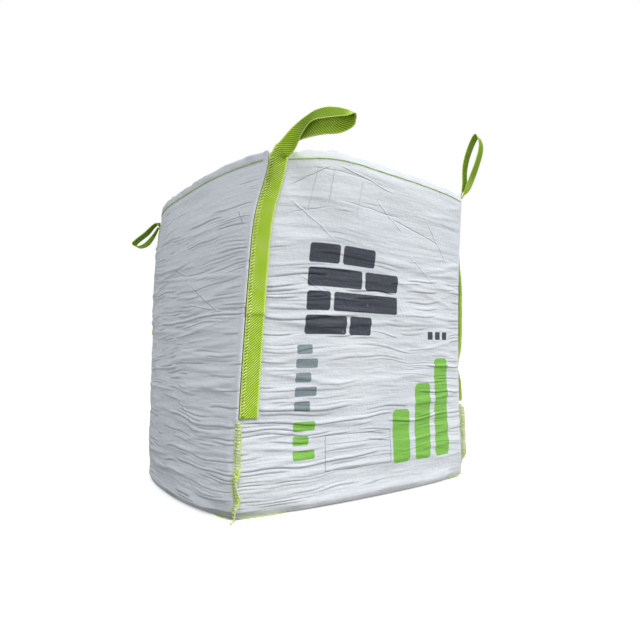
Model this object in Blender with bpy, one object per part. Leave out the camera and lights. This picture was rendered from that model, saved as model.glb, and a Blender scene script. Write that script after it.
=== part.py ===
"""A filled bulk bag of hempcrete mix, standing on its base.

The bag is sewn from four woven side panels, a base panel and a top skirt. Two panel
edges stand out together as a fin along each corner. Each lift loop is one webbing strap:
it is sewn flat beside its corner, goes round the loop and comes down over itself.

Frame: metres, +Z up, origin on the floor under the middle of the base. The printed front
is at -Y. Corners are numbered anticlockwise seen from above, starting at -X -Y, and side
number n runs from corner n to the next one.
"""

import math

import bmesh
import bpy
from mathutils import Vector

# Driving sizes of the bag
HALF_WIDTH = 0.450
RIM_HEIGHT = 1.050
HEM_BAND = 0.027
BASE_ROUND_OUT = 0.012
BASE_ROUND_UP = 0.060
CROWN = 0.035

# Material thicknesses and clearances
FABRIC = 0.0008
WEBBING = 0.0020
THREAD = 0.0022
GAP = 0.0006
FILL_GAP = 0.0010

# Seams
FIN = 0.016
FIN_ROOT = 0.0026
FIN_GAP = 0.0016
FIN_LEAN = 0.6
BASE_FIN = 0.009
OVERLOCK_WIDTH = 0.0040
CHAIN_STITCH_WIDTH = 0.0030
BASE_STITCH_END = 0.030

# Webbing of the lift loops
STRAP_WIDTH = 0.053
STRAP_ASIDE = 0.0022
STRAP_FOOT = 0.280
STRAP_LIFT = 0.007
STRAP_GAP = 0.0012
LOOP_STEPS = 4

# How far each side stands out between its corners, at the foot, half way up and at the rim
BULGES = ((0.040, 0.060, 0.075), (0.040, 0.060, 0.075), (0.040, 0.060, 0.075), (0.068, 0.074, 0.080))
BULGE_POWER = 2.4

SIDE_NAMES = ("front", "right", "back", "left")
CORNER_NAMES = ("front_left", "front_right", "back_right", "back_left")
CORNER_SIGNS = ((-1, -1), (1, -1), (1, 1), (-1, 1))

# Where each corner wanders from the upright, as (x, y) at seven even heights from foot to rim
CORNER_DRIFT = (
    (
        (-0.052, -0.003), (-0.046, 0.008), (-0.034, 0.014), (-0.021, 0.014),
        (-0.008, 0.012), (0.009, 0.006), (0.051, -0.006),
    ),
    (
        (0.006, 0.026), (0.000, 0.026), (-0.006, 0.025), (-0.007, 0.022),
        (-0.006, 0.018), (0.000, 0.013), (0.008, 0.006),
    ),
    (
        (0.000, 0.000), (0.000, -0.001), (0.000, 0.001), (0.000, 0.002),
        (0.002, 0.001), (0.005, -0.001), (0.010, -0.004),
    ),
    (
        (-0.004, -0.050), (-0.003, -0.037), (0.005, -0.027), (0.013, -0.018),
        (0.016, -0.011), (0.026, -0.007), (0.042, -0.006),
    ),
)

# How far the rim stitch runs above its nominal height, at five even places along each side
RIM_RISE = (
    (-0.008, 0.018, 0.004, -0.006, -0.006),
    (-0.006, 0.004, 0.006, 0.004, 0.004),
    (0.004, 0.006, 0.004, -0.002, -0.006),
    (-0.006, -0.020, -0.026, -0.018, -0.008),
)

# Heights of the rows of panel faces, and places of their columns from corner to corner.
# The strap lies on the second column.
ROWS = (0.0, 0.012, 0.035, 0.080, 0.180, 0.300, 0.420, 0.540, 0.660, 0.780, 0.890, 0.980, 1.050)
COLUMNS = (0.0, 0.010, 0.070, 0.17, 0.28, 0.39, 0.50, 0.61, 0.72, 0.83, 0.930, 0.990, 1.0)

# Free part of each loop, from the outer layer of the strap round to the inner one. A row
# holds the centre line as (along the panel, out from it, up from the rim stitch), then the
# direction across the strap in the same three axes.
LOOP_PATHS = {
    "front_left": (
        ((0.011, 0.017, 0.026), (0.85, 0.30, -0.42)),
        ((0.027, 0.028, 0.044), (0.69, 0.38, -0.62)),
        ((0.047, 0.059, 0.073), (0.36, 0.69, -0.63)),
        ((0.070, 0.089, 0.096), (0.13, 0.82, -0.56)),
        ((0.090, 0.109, 0.106), (-0.01, 0.69, -0.72)),
        ((0.115, 0.126, 0.108), (-0.07, 0.57, -0.82)),
        ((0.145, 0.141, 0.106), (-0.13, 0.62, -0.78)),
        ((0.172, 0.153, 0.101), (-0.19, 0.74, -0.65)),
        ((0.191, 0.160, 0.098), (-0.30, 0.84, -0.45)),
        ((0.189, 0.156, 0.082), (-0.23, 0.59, -0.78)),
        ((0.175, 0.148, 0.074), (-0.07, 0.21, -0.97)),
        ((0.149, 0.139, 0.065), (-0.02, -0.05, -1.00)),
        ((0.110, 0.120, 0.067), (-0.07, -0.06, -1.00)),
        ((0.076, 0.083, 0.072), (-0.17, -0.01, -0.99)),
        ((0.053, 0.042, 0.070), (-0.08, 0.34, -0.94)),
        ((0.035, 0.008, 0.053), (0.26, 0.50, -0.83)),
        ((0.010, 0.0090, 0.032), (0.98, 0.12, -0.12)),
    ),
    "front_right": (
        ((-0.002, 0.034, 0.032), (0.95, 0.30, 0.0)),
        ((-0.024, 0.046, 0.066), (0.67, 0.74, 0.0)),
        ((-0.052, 0.072, 0.156), (0.67, 0.74, 0.0)),
        ((-0.060, 0.084, 0.217), (0.67, 0.74, 0.0)),
        ((-0.055, 0.076, 0.257), (0.67, 0.74, 0.0)),
        ((-0.046, 0.064, 0.251), (0.67, 0.74, 0.0)),
        ((-0.032, 0.044, 0.195), (0.67, 0.74, 0.0)),
        ((-0.025, 0.032, 0.137), (0.67, 0.74, 0.0)),
        ((-0.018, 0.032, 0.074), (0.70, 0.70, 0.0)),
        ((-0.001, 0.027, 0.038), (0.96, 0.28, 0.0)),
    ),
    "back_right": (
        ((0.004, 0.012, 0.034), (1.0, 0.0, 0.0)),
        ((0.018, 0.036, 0.080), (1.0, 0.0, -0.15)),
        ((0.040, 0.060, 0.142), (0.95, 0.0, -0.25)),
        ((0.060, 0.064, 0.205), (0.95, 0.0, -0.25)),
        ((0.068, 0.044, 0.240), (0.95, 0.0, -0.20)),
        ((0.064, 0.016, 0.232), (0.95, 0.0, -0.20)),
        ((0.050, -0.008, 0.185), (0.95, 0.0, -0.25)),
        ((0.030, -0.016, 0.125), (0.95, 0.0, -0.25)),
        ((0.012, -0.010, 0.075), (1.0, 0.0, -0.10)),
        ((0.002, 0.0045, 0.038), (1.0, 0.0, 0.0)),
    ),
    "back_left": (
        ((0.004, 0.018, -0.046), (1.0, 0.0, 0.0)),
        ((-0.006, 0.038, -0.082), (0.98, 0.15, 0.0)),
        ((-0.016, 0.066, -0.116), (0.95, 0.30, 0.0)),
        ((-0.028, 0.098, -0.127), (0.95, 0.30, 0.0)),
        ((-0.034, 0.116, -0.116), (0.95, 0.30, 0.0)),
        ((-0.030, 0.104, -0.100), (0.95, 0.30, 0.0)),
        ((-0.016, 0.066, -0.070), (0.95, 0.30, 0.0)),
        ((-0.006, 0.038, -0.040), (0.98, 0.15, 0.0)),
        ((0.004, 0.018, -0.026), (1.0, 0.0, 0.0)),
    ),
}

# How far below or above the rim stitch each strap leaves its panel
LEAVES_AT = {"front_left": 0.012, "front_right": 0.012, "back_right": 0.012, "back_left": -0.056}

# Colours as linear red, green, blue, then roughness
CLOTH_LOOK = ((0.72, 0.74, 0.76), 0.62)
WEBBING_LOOK = ((0.33, 0.55, 0.05), 0.70)
THREAD_LOOK = ((0.50, 0.68, 0.12), 0.75)
MIX_LOOK = ((0.46, 0.38, 0.26), 0.95)

# Area in square metres below which a face has collapsed
SMALLEST_FACE = 1.0e-8

# Distances of each layer's middle from the fill
PANEL_OUT = FILL_GAP + FABRIC / 2
STRAP_OUT = FILL_GAP + FABRIC + STRAP_GAP + WEBBING / 2
STITCH_OUT = FILL_GAP + FABRIC + GAP + THREAD / 2

# Heights where the fabric lies flat on the floor
BASE_MIDDLE = FABRIC / 2
FLANGE_MIDDLE = FABRIC + GAP + FABRIC / 2
FILL_BOTTOM = FABRIC + FILL_GAP
FILL_EDGE = RIM_HEIGHT - 0.004


def clear_scene():
    """Remove every object of the startup scene."""
    for obj in list(bpy.data.objects):
        bpy.data.objects.remove(obj, do_unlink=True)


def plain_material(name, look):
    """Return a Principled material of one colour and roughness."""
    colour, roughness = look
    material = bpy.data.materials.new(name)
    material.use_nodes = True
    shader = material.node_tree.nodes["Principled BSDF"]
    shader.inputs["Base Color"].default_value = (*colour, 1.0)
    shader.inputs["Roughness"].default_value = roughness
    shader.inputs["Metallic"].default_value = 0.0
    return material


def add_object(name, bm, material):
    """Turn a bmesh into a named, smooth-shaded object in the scene."""
    mesh = bpy.data.meshes.new(name)
    bmesh.ops.recalc_face_normals(bm, faces=bm.faces)
    bm.to_mesh(mesh)
    bm.free()
    mesh.shade_smooth()
    mesh.set_sharp_from_angle(angle=math.radians(40))
    mesh.materials.append(material)
    obj = bpy.data.objects.new(name, mesh)
    bpy.context.scene.collection.objects.link(obj)
    return obj


def thicken(obj, thickness):
    """Give a sheet its thickness, half on each side."""
    solidify = obj.modifiers.new("thickness", "SOLIDIFY")
    solidify.thickness = thickness
    solidify.offset = 0.0
    return obj


def add_grid(bm, columns, rows, place):
    """Add a grid of columns by rows points and put each one at place(column, row)."""
    made = bmesh.ops.create_grid(bm, x_segments=columns - 1, y_segments=rows - 1, size=1.0)
    for vert in made["verts"]:
        column = round((vert.co.x + 1.0) / 2.0 * (columns - 1))
        row = round((vert.co.y + 1.0) / 2.0 * (rows - 1))
        vert.co = place(column, row)


def spline(points, fraction):
    """Return the point of a Catmull-Rom curve through points, with fraction from 0 to 1."""
    place = min(max(fraction, 0.0), 1.0) * (len(points) - 1)
    first = min(int(place), len(points) - 2)
    near = [points[min(max(first + step, 0), len(points) - 1)] for step in (-1, 0, 1, 2)]
    t = place - first
    weights = (
        -0.5 * t + t * t - 0.5 * t**3,
        1.0 - 2.5 * t * t + 1.5 * t**3,
        0.5 * t + 2.0 * t * t - 1.5 * t**3,
        -0.5 * t * t + 0.5 * t**3,
    )
    total = Vector([0.0] * len(points[0]))
    for point, weight in zip(near, weights):
        total += Vector(point) * weight
    return total


def base_inset(height):
    """Return how far the sides draw in near the floor, where the base edge is rounded."""
    below = max(0.0, 1.0 - height / BASE_ROUND_UP)
    return BASE_ROUND_OUT * (1.0 - math.sqrt(1.0 - below * below))


def corner_at(corner, height):
    """Return the plan position of a corner at a height above the floor."""
    sign_x, sign_y = CORNER_SIGNS[corner % 4]
    drift = spline(CORNER_DRIFT[corner % 4], height / RIM_HEIGHT)
    half = HALF_WIDTH - base_inset(height)
    return Vector((sign_x * half + drift.x, sign_y * half + drift.y))


def bulge_at(side, height):
    """Return how far the middle of a side stands out at a height."""
    foot, middle, rim = BULGES[side % 4]
    v = height / RIM_HEIGHT
    lower = foot * (1.0 - v) * (1.0 - 2.0 * v) + middle * 4.0 * v * (1.0 - v)
    return lower + rim * v * (2.0 * v - 1.0)


def outline_point(side, column, row):
    """Return the plan position of the fill's outline at one column and row."""
    fraction = COLUMNS[column]
    height = ROWS[row]
    start = corner_at(side, height)
    end = corner_at(side + 1, height)
    along = (end - start).normalized()
    outward = Vector((along.y, -along.x))
    swell = 1.0 - abs(2.0 * fraction - 1.0) ** BULGE_POWER
    return start.lerp(end, fraction) + outward * bulge_at(side, height) * swell


def between(stations, value):
    """Return the station below value and the fraction of the way to the next one."""
    for index in range(len(stations) - 2):
        if value <= stations[index + 1]:
            break
    else:
        index = len(stations) - 2
    return index, (value - stations[index]) / (stations[index + 1] - stations[index])


def outline(side, fraction, height):
    """Return the plan position on the fill's flat-faced outline."""
    column, across = between(COLUMNS, fraction)
    row, up = between(ROWS, min(height, RIM_HEIGHT))
    low = outline_point(side, column, row).lerp(outline_point(side, column + 1, row), across)
    high = outline_point(side, column, row + 1)
    high = high.lerp(outline_point(side, column + 1, row + 1), across)
    return low.lerp(high, up)


def outward_at(side, fraction, height):
    """Return the unit plan normal of the outline."""
    step = 0.004
    before = outline(side, max(fraction - step, 0.0), height)
    after = outline(side, min(fraction + step, 1.0), height)
    along = (after - before).normalized()
    return Vector((along.y, -along.x))


def corner_axes(corner, height):
    """Return a corner's plan position, its fin's direction and the direction across that.

    The fin leans over the panel that starts at the corner.
    """
    side = corner % 4
    outward = outward_at(side, 0.0, height)
    fin = outward + Vector((-outward.y, outward.x)) * FIN_LEAN
    fin.normalize()
    return outline(side, 0.0, height), fin, Vector((-fin.y, fin.x))


def upright(plan, height):
    """Return a 3-D point from a plan position and a height."""
    return Vector((plan.x, plan.y, height))


def rise(side, fraction, height):
    """Return how far above its nominal height a point lies, because the rim isn't level."""
    at_rim = spline([(value, 0.0) for value in RIM_RISE[side % 4]], fraction)[0]
    return at_rim * min(height / RIM_HEIGHT, 1.0) ** 2


def panel_plan(side, column, height, out):
    """Return a panel's plan position at a column, counted past both ends for the two fins.

    Columns 0 and 1 are the edge and the root of the first fin, and the last two are those
    of the other fin. The fins of neighbouring panels stand side by side.
    """
    last = len(COLUMNS)
    if 2 <= column <= last - 1:
        fraction = COLUMNS[column - 1]
        return outline(side, fraction, height) + outward_at(side, fraction, height) * out
    starts = column < 2
    here, fin, across = corner_axes(side if starts else side + 1, height)
    reach = FIN_ROOT + (FIN if column in (0, last + 1) else 0.0) + out - PANEL_OUT
    apart = (FABRIC + FIN_GAP) / 2.0 * (1.0 if starts else -1.0)
    return here + fin * reach + across * apart


def make_panel(side, material):
    """Make a side panel with its corner fins, its hem band and its flange on the floor.

    A fin has no flange of its own, so the faces that collapse there are taken out.
    """
    heights = (FLANGE_MIDDLE, FLANGE_MIDDLE, *ROWS[1:], RIM_HEIGHT + HEM_BAND)

    def place(column, row):
        out = PANEL_OUT + (BASE_FIN if row == 0 else 0.0)
        height = 0.0 if row < 2 else heights[row]
        fraction = COLUMNS[min(max(column - 1, 0), len(COLUMNS) - 1)]
        lift = rise(side, fraction, height)
        return upright(panel_plan(side, column, height, out), heights[row] + lift)

    bm = bmesh.new()
    add_grid(bm, len(COLUMNS) + 2, len(heights), place)
    collapsed = [face for face in bm.faces if face.calc_area() < SMALLEST_FACE]
    bmesh.ops.delete(bm, geom=collapsed, context="FACES")
    return thicken(add_object(f"side_panel_{SIDE_NAMES[side]}", bm, material), FABRIC)


def edge_of_plan(x, y):
    """Return the side and the fraction along it that lie out from the middle at x, y."""
    reach = max(abs(x), abs(y))
    if abs(y) >= abs(x):
        return (0, (x / reach + 1.0) / 2.0) if y < 0.0 else (2, (1.0 - x / reach) / 2.0)
    return (1, (y / reach + 1.0) / 2.0) if x > 0.0 else (3, (1.0 - y / reach) / 2.0)


def across_the_plan(column, row, height, out):
    """Map a square grid point onto the bag's plan; out moves the edge outward.

    Returns the plan position, the reach from 0 at the middle to 1 at the edge, and the rise.
    """
    x = 2.0 * COLUMNS[column] - 1.0
    y = 2.0 * COLUMNS[row] - 1.0
    reach = max(abs(x), abs(y))
    centre = sum((corner_at(corner, height) for corner in range(4)), Vector((0.0, 0.0))) / 4.0
    if reach == 0.0:
        return centre, reach, 0.0
    side, fraction = edge_of_plan(x, y)
    edge = outline(side, fraction, height) + outward_at(side, fraction, height) * out
    return centre.lerp(edge, reach), reach, rise(side, fraction, height) * reach


def fill_top(reach):
    """Return the height of the fill's crown at a reach from its middle."""
    return FILL_EDGE + CROWN * (1.0 - reach * reach)


def make_fill(material):
    """Make the loose mix as one solid that just fills the sewn panels."""
    heights = (FILL_BOTTOM, *ROWS[1:-1], FILL_EDGE)
    size = len(COLUMNS)
    bm = bmesh.new()
    for side in range(4):

        def wall(column, row, side=side):
            lift = rise(side, COLUMNS[column], ROWS[row])
            return upright(outline_point(side, column, row), heights[row] + lift)

        add_grid(bm, size, len(ROWS), wall)

    def top(column, row):
        plan, reach, lift = across_the_plan(column, row, RIM_HEIGHT, 0.0)
        return upright(plan, fill_top(reach) + lift)

    def bottom(column, row):
        return upright(across_the_plan(column, row, 0.0, 0.0)[0], FILL_BOTTOM)

    add_grid(bm, size, size, top)
    add_grid(bm, size, size, bottom)
    bmesh.ops.remove_doubles(bm, verts=bm.verts, dist=0.00005)
    return add_object("hemp_mix_fill", bm, material)


def make_base(material):
    """Make the base panel, which lies on the floor and reaches out under the flanges."""
    size = len(COLUMNS)
    bm = bmesh.new()

    def place(column, row):
        return upright(across_the_plan(column, row, 0.0, PANEL_OUT + BASE_FIN)[0], BASE_MIDDLE)

    add_grid(bm, size, size, place)
    return thicken(add_object("base_panel", bm, material), FABRIC)


def make_skirt(material):
    """Make the top skirt, laid over the fill with its edge turned up inside the hem band."""
    size = len(COLUMNS)
    clearance = FILL_GAP + FABRIC
    edge_height = RIM_HEIGHT + 0.018
    edge_inset = -0.003
    bm = bmesh.new()

    def place(column, row):
        plan, reach, lift = across_the_plan(column, row, RIM_HEIGHT, edge_inset)
        height = edge_height if reach == 1.0 else fill_top(reach) + clearance
        return upright(plan, height + lift)

    add_grid(bm, size, size, place)
    return thicken(add_object("top_skirt", bm, material), FABRIC)


def make_ribbon(name, stations, width, thickness, material):
    """Make a flat ribbon through stations of (centre, direction across it)."""
    bm = bmesh.new()

    def place(column, row):
        centre, across = stations[row]
        return centre + across * width * (column - 0.5)

    add_grid(bm, 2, len(stations), place)
    return thicken(add_object(name, bm, material), thickness)


def strap_frame(side, height):
    """Return the middle of the strap's place on a panel, and the along and out directions."""
    near = outline(side, COLUMNS[1], height)
    far = outline(side, COLUMNS[2], height)
    along = (far - near).normalized()
    return (near + far) / 2.0 + along * STRAP_ASIDE, along, Vector((along.y, -along.x))


def sewn_stations(side, heights, out):
    """Return ribbon stations on a panel, with the edge beside the corner fin raised."""
    stations = []
    for height in heights:
        middle, along, outward = strap_frame(side, height)
        near = middle - along * STRAP_WIDTH / 2.0 + outward * (out + STRAP_LIFT)
        far = middle + along * STRAP_WIDTH / 2.0 + outward * out
        across = upright(far - near, 0.0).normalized()
        lift = rise(side, COLUMNS[1], height)
        stations.append((upright((near + far) / 2.0, height + lift), across))
    return stations


def free_stations(side, path):
    """Return ribbon stations round the free part of a loop."""
    middle, along, outward = strap_frame(side, RIM_HEIGHT)
    axes = (upright(along, 0.0), upright(outward, 0.0), Vector((0.0, 0.0, 1.0)))
    origin = upright(middle, RIM_HEIGHT + rise(side, COLUMNS[1], RIM_HEIGHT))
    steps = (len(path) - 1) * LOOP_STEPS

    def from_local(local):
        return sum((axis * part for axis, part in zip(axes, local)), Vector((0.0, 0.0, 0.0)))

    centres = [origin + from_local(spline([p for p, _ in path], i / steps)) for i in range(steps + 1)]
    stations = []
    for i, centre in enumerate(centres):
        tangent = (centres[min(i + 1, steps)] - centres[max(i - 1, 0)]).normalized()
        across = from_local(spline([w for _, w in path], i / steps))
        across -= tangent * across.dot(tangent)
        stations.append((centre, across.normalized()))
    return stations


def make_loop(corner, material):
    """Make one lift loop: a strap sewn up its corner, round the loop and down over itself."""
    name = CORNER_NAMES[corner]
    top = RIM_HEIGHT + LEAVES_AT[name]
    between_ends = [height for height in ROWS if STRAP_FOOT + 0.01 < height < top - 0.01]
    heights = [STRAP_FOOT, *between_ends, top]
    outer = sewn_stations(corner, heights, STRAP_OUT + WEBBING + GAP)
    inner = sewn_stations(corner, heights, STRAP_OUT)
    stations = outer + free_stations(corner, LOOP_PATHS[name]) + inner[::-1]
    return make_ribbon(f"lift_loop_{name}", stations, STRAP_WIDTH, WEBBING, material)


def make_corner_overlock(corner, material):
    """Make the overlock thread that binds the edge of a corner fin."""
    stations = []
    for height in (*ROWS[1:], RIM_HEIGHT + HEM_BAND):
        here, fin, across = corner_axes(corner, height)
        plan = here + fin * (FIN_ROOT + FIN + GAP + THREAD / 2.0)
        lift = rise(corner, 0.0, height)
        stations.append((upright(plan, height + lift), upright(across, 0.0)))
    name = f"corner_overlock_{CORNER_NAMES[corner]}"
    return make_ribbon(name, stations, OVERLOCK_WIDTH, THREAD, material)


def make_rim_stitch(side, material):
    """Make the chain stitch along the rim, from the strap's edge to the next corner."""
    first = 0.082
    last = 0.982
    fractions = [first] + [f for f in COLUMNS if first < f < last] + [last]
    stations = []
    for fraction in fractions:
        outward = outward_at(side, fraction, RIM_HEIGHT)
        plan = outline(side, fraction, RIM_HEIGHT) + outward * STITCH_OUT
        height = RIM_HEIGHT + rise(side, fraction, RIM_HEIGHT)
        stations.append((upright(plan, height), Vector((0.0, 0.0, 1.0))))
    name = f"rim_chain_stitch_{SIDE_NAMES[side]}"
    return make_ribbon(name, stations, CHAIN_STITCH_WIDTH, THREAD, material)


def make_base_overlock(side, material):
    """Make the overlock thread along the edge of the base seam."""
    stations = []
    out = PANEL_OUT + BASE_FIN + GAP + THREAD / 2.0
    middle = 0.0003 + OVERLOCK_WIDTH / 2.0
    for fraction in (BASE_STITCH_END, *COLUMNS[2:-2], 1.0 - BASE_STITCH_END):
        plan = outline(side, fraction, 0.0) + outward_at(side, fraction, 0.0) * out
        stations.append((upright(plan, middle), Vector((0.0, 0.0, 1.0))))
    name = f"base_overlock_{SIDE_NAMES[side]}"
    return make_ribbon(name, stations, OVERLOCK_WIDTH, THREAD, material)


def main():
    """Build every piece of the bag."""
    clear_scene()
    cloth = plain_material("woven_cloth", CLOTH_LOOK)
    webbing = plain_material("lime_webbing", WEBBING_LOOK)
    thread = plain_material("seam_thread", THREAD_LOOK)
    make_fill(plain_material("hemp_mix", MIX_LOOK))
    make_base(cloth)
    make_skirt(cloth)
    for number in range(4):
        make_panel(number, cloth)
        make_loop(number, webbing)
        make_corner_overlock(number, thread)
        make_rim_stitch(number, thread)
        make_base_overlock(number, thread)


main()
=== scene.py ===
"""Visual model of a filled bulk bag of hempcrete mix: cloth, webbing, stitching and print.

Frame: metres, +Z up, origin on the floor under the middle of the base. The printed front is
at -Y. Corners are numbered anticlockwise seen from above, starting at -X -Y, and side number
n runs from corner n to the next one.
"""

import logging
import math
import random
from dataclasses import dataclass, field
from enum import Enum
from functools import reduce

import bmesh
import bpy
import numpy as np
from mathutils import Matrix, Vector

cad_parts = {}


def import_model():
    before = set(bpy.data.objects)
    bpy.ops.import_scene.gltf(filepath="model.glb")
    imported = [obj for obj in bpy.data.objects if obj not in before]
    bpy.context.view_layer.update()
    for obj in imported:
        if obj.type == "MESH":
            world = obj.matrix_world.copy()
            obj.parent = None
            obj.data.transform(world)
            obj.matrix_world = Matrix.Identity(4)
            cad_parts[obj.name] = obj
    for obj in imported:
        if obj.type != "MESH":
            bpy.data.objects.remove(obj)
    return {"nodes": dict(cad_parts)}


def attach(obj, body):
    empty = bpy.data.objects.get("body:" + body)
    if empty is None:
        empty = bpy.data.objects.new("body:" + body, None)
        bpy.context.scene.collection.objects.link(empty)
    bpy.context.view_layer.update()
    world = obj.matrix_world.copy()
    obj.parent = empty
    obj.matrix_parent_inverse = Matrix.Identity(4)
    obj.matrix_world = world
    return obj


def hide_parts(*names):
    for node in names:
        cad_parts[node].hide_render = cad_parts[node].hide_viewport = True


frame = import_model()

LOG = logging.getLogger("bulk_bag")

SIDE_NAMES = ("front", "right", "back", "left")
CORNER_NAMES = ("front_left", "front_right", "back_right", "back_left")
FRONT_LEFT, FRONT_RIGHT, BACK_RIGHT, BACK_LEFT = range(4)


class Side(Enum):
    """The four sides of the bag, numbered from the printed one."""

    FRONT = 0
    RIGHT = 1
    BACK = 2
    LEFT = 3


class Strand(Enum):
    """The two shapes that thread is laid in."""

    ROD = "straight leg"
    LINK = "plump chain stitch"


def spline(points: np.ndarray, fraction: np.ndarray) -> np.ndarray:
    """Follow a Catmull-Rom curve through rows of values.

    Args:
        points: One row of values per control point.
        fraction: Places along the curve, from 0 to 1, in an array of any shape.

    Returns:
        The values at those places, with one more axis than fraction.
    """
    rows = np.asarray(points, dtype=float)
    place = np.clip(fraction, 0.0, 1.0) * (len(rows) - 1)
    first = np.minimum(np.asarray(place).astype(int), len(rows) - 2)
    t = (place - first)[..., None]
    weights = (
        -0.5 * t + t * t - 0.5 * t**3,
        1.0 - 2.5 * t * t + 1.5 * t**3,
        0.5 * t + 2.0 * t * t - 1.5 * t**3,
        -0.5 * t * t + 0.5 * t**3,
    )
    total = 0.0
    for step, weight in zip((-1, 0, 1, 2), weights):
        total = total + rows[np.clip(first + step, 0, len(rows) - 1)] * weight
    return total


def curve(values: tuple[float, ...], fraction: np.ndarray) -> np.ndarray:
    """Follow a Catmull-Rom curve through single values."""
    return spline([(value,) for value in values], fraction)[..., 0]


def smoothstep(low: float, high: float, value: np.ndarray) -> np.ndarray:
    """Ease from 0 at low to 1 at high."""
    t = np.clip((np.asarray(value, dtype=float) - low) / (high - low), 0.0, 1.0)
    return t * t * (3.0 - 2.0 * t)


def noise_field(across: np.ndarray, up: np.ndarray, cell: tuple[float, float], seed: int) -> np.ndarray:
    """Sample smooth gradient noise on a sheet.

    Args:
        across: Distances across the sheet.
        up: Distances up the sheet, in an array that fits the first one.
        cell: Size of one noise cell across and up.
        seed: Seed that picks the pattern.

    Returns:
        Values from about -1 to 1.
    """
    across, up = np.broadcast_arrays(np.asarray(across, float) / cell[0], np.asarray(up, float) / cell[1])
    angles = np.random.RandomState(seed).uniform(0.0, 2.0 * math.pi, (64, 64))
    column, row = np.floor(across).astype(int), np.floor(up).astype(int)
    x, y = across - column, up - row

    def pull(right: int, above: int) -> np.ndarray:
        """Return one lattice corner's part of the noise."""
        angle = angles[(column + right) % 64, (row + above) % 64]
        return np.cos(angle) * (x - right) + np.sin(angle) * (y - above)

    ease_x = x * x * x * (x * (x * 6.0 - 15.0) + 10.0)
    ease_y = y * y * y * (y * (y * 6.0 - 15.0) + 10.0)
    low = pull(0, 0) * (1.0 - ease_x) + pull(1, 0) * ease_x
    high = pull(0, 1) * (1.0 - ease_x) + pull(1, 1) * ease_x
    return 1.45 * (low * (1.0 - ease_y) + high * ease_y)


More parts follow.
